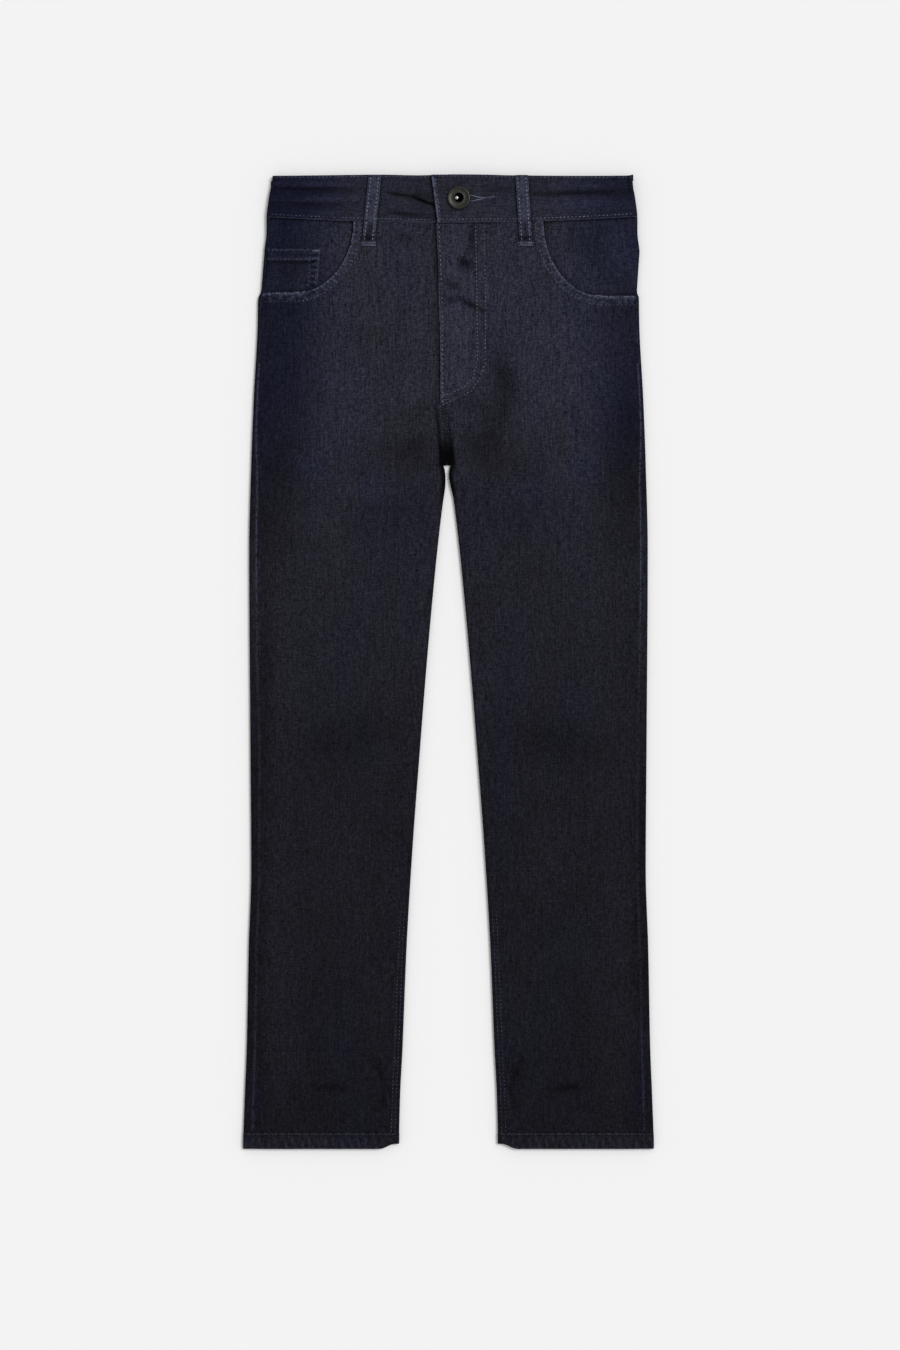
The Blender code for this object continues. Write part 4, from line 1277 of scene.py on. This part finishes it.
def stitch_back_pocket(word):
    left, right, foot, head = outline(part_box(f"back_pocket_{word}"))
    middle = (left + right) / 2

    def rows(bm):
        for off in (2, 7):
            rim = [(left + off, head - 1), (left + 8 + off, foot + 19 + off), (middle, foot + 1 + off)]
            sew_under(bm, on_surface, rim + [(2 * middle - x, up) for x, up in rim[1::-1]])
        for down in (3, 12):
            sew_under(bm, on_surface, [(left + 2, head - down), (right - 2, head - down)])

    thread_piece(f"back_pocket_stitches_{word}", rows, THREAD_LOOK)


def buttonhole(bm):
    left, right, foot, head = outline(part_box("button"))
    x, up = (left + right) / 2, (foot + head) / 2
    for sign in (-1, 1):
        bend = [
            (x + 9, up + sign * 3.2), (x + 14, up + sign * 2.6 - 0.3),
            (x + 19, up + sign * 1.3 - 0.4), (x + 25.5, up + sign * 0.5 - 0.3),
        ]
        edge = along_line(band_face, bend)
        sew(bm, edge, pitch=1.1 * MM, long=1.3 * MM, wide=1.0 * MM, high=0.45 * MM, lean=0.5)
    bartack(bm, band_face, (x + 25, up - 0.2), (x + 36, up + 1.6), 1.5, 11)


# The stitches vary by chance, so the pieces keep this order.
def stitch_everything():
    for word, side in SIDES.items():
        stitch_front(word, side)
        stitch_loop(word)
    thread_piece("coin_pocket_stitches", coin_rows, DULL_THREAD)
    thread_piece("coin_pocket_bartack", coin_tack, BRIGHT_THREAD)
    thread_piece("waistband_stitches", band_rows, THREAD_LOOK)
    thread_piece("hem_stitches", hem_rows, DULL_THREAD)
    thread_piece("yoke_and_seat_stitches", yoke_rows, THREAD_LOOK)
    thread_piece("waistband_back_stitches", back_band_rows, THREAD_LOOK)
    thread_piece("belt_loop_back_stitches", back_loop_rows, BRIGHT_THREAD)
    for word in SIDES:
        stitch_back_pocket(word)
    thread_piece("buttonhole_thread", buttonhole, BRIGHT_THREAD)


# ---------------------------------------------------------------- build

for word, side in SIDES.items():
    front_panel(word, side)
    back_panel(word, side)
    yoke(word, side)
    pocket_facing(word, side)
    back_pocket(word)
    front_loop(word)
    hem(word, side)
for word in BACK_LOOPS:
    back_loop(word)
coin_pocket()
waistband()
button()
stitch_everything()


# Each piece of cloth as it was cut, sewn edges left off: width, length and area in metres,
# all the way round where it is a tube, then what it lies on and what is sewn to it.
CUTS = [
    ("front_panel", SIDES, (0.197, 0.913), 0.150, ["back_panel", "pocket_facing"],
     ["topstitch_front_{}", "seam_stitches_{}"]),
    ("back_panel", SIDES, (0.214, 0.880), 0.160, ["back_pocket"], []),
    ("yoke", SIDES, (0.206, 0.062), 0.0098, [], []),
    ("pocket_facing", SIDES, (0.104, 0.086), 0.0072, ["back_panel", "yoke"], []),
    ("back_pocket", SIDES, (0.122, 0.124), 0.0133, [], ["back_pocket_stitches_{}"]),
    ("belt_loop", SIDES, (0.0128, 0.0705), None, ["waistband_cloth", "front_panel"],
     ["belt_loop_stitches_{}"]),
    ("belt_loop_cloth_back", BACK_LOOPS, (0.0128, 0.069), None, [], []),
    ("hem", SIDES, (0.016, 0.322), None, [], []),
    ("coin_pocket_cloth", ("",), (0.052, 0.045), 0.0022, ["pocket_facing_cloth_right"],
     ["coin_pocket_stitches", "coin_pocket_bartack"]),
    ("waistband_cloth", ("",), (0.047, 0.790), None, ["yoke", "front_panel"],
     ["waistband_stitches", "tack_button_cap", "tack_button_post", "buttonhole_thread"]),
]


for name, words, flat, area, under, sewn_on in CUTS:
    for word in words:
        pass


# ---------------------------------------------------------------- studio

bm = bmesh.new()
bmesh.ops.create_grid(bm, x_segments=1, y_segments=1, size=4)
bmesh.ops.translate(bm, verts=bm.verts, vec=(0, 0, -0.0003))
paper = Nodes("pale_paper_backdrop")
paper.shade({"Base Color": (0.82, 0.82, 0.82, 1), "Roughness": 1.0, "Specular IOR Level": 0.0})
floor = finish_mesh("floor", bm, paper.material)

scene = bpy.context.scene
world = bpy.data.worlds.new("studio")
world.use_nodes = True
sky = world.node_tree.nodes["Background"].inputs
sky["Color"].default_value = (1, 1, 1, 1)
sky["Strength"].default_value = 0.62
scene.world = world
sun = bpy.data.lights.new("softbox", "SUN")
sun.energy = 1.75
sun.angle = math.radians(22)
lamp = bpy.data.objects.new("softbox", sun)
lamp.rotation_euler = Vector((-0.62, -0.35, -1.15)).to_track_quat("-Z", "Y").to_euler()
scene.collection.objects.link(lamp)
scene.view_settings.view_transform = "Standard"

camera = bpy.data.cameras.new("camera")
camera.lens = 85
camera.sensor_width = 36
camera.clip_end = 20
eye = bpy.data.objects.new("camera", camera)
eye.location = (1.5 * MM, -13 * MM, 3.1935)
scene.collection.objects.link(eye)
scene.camera = eye
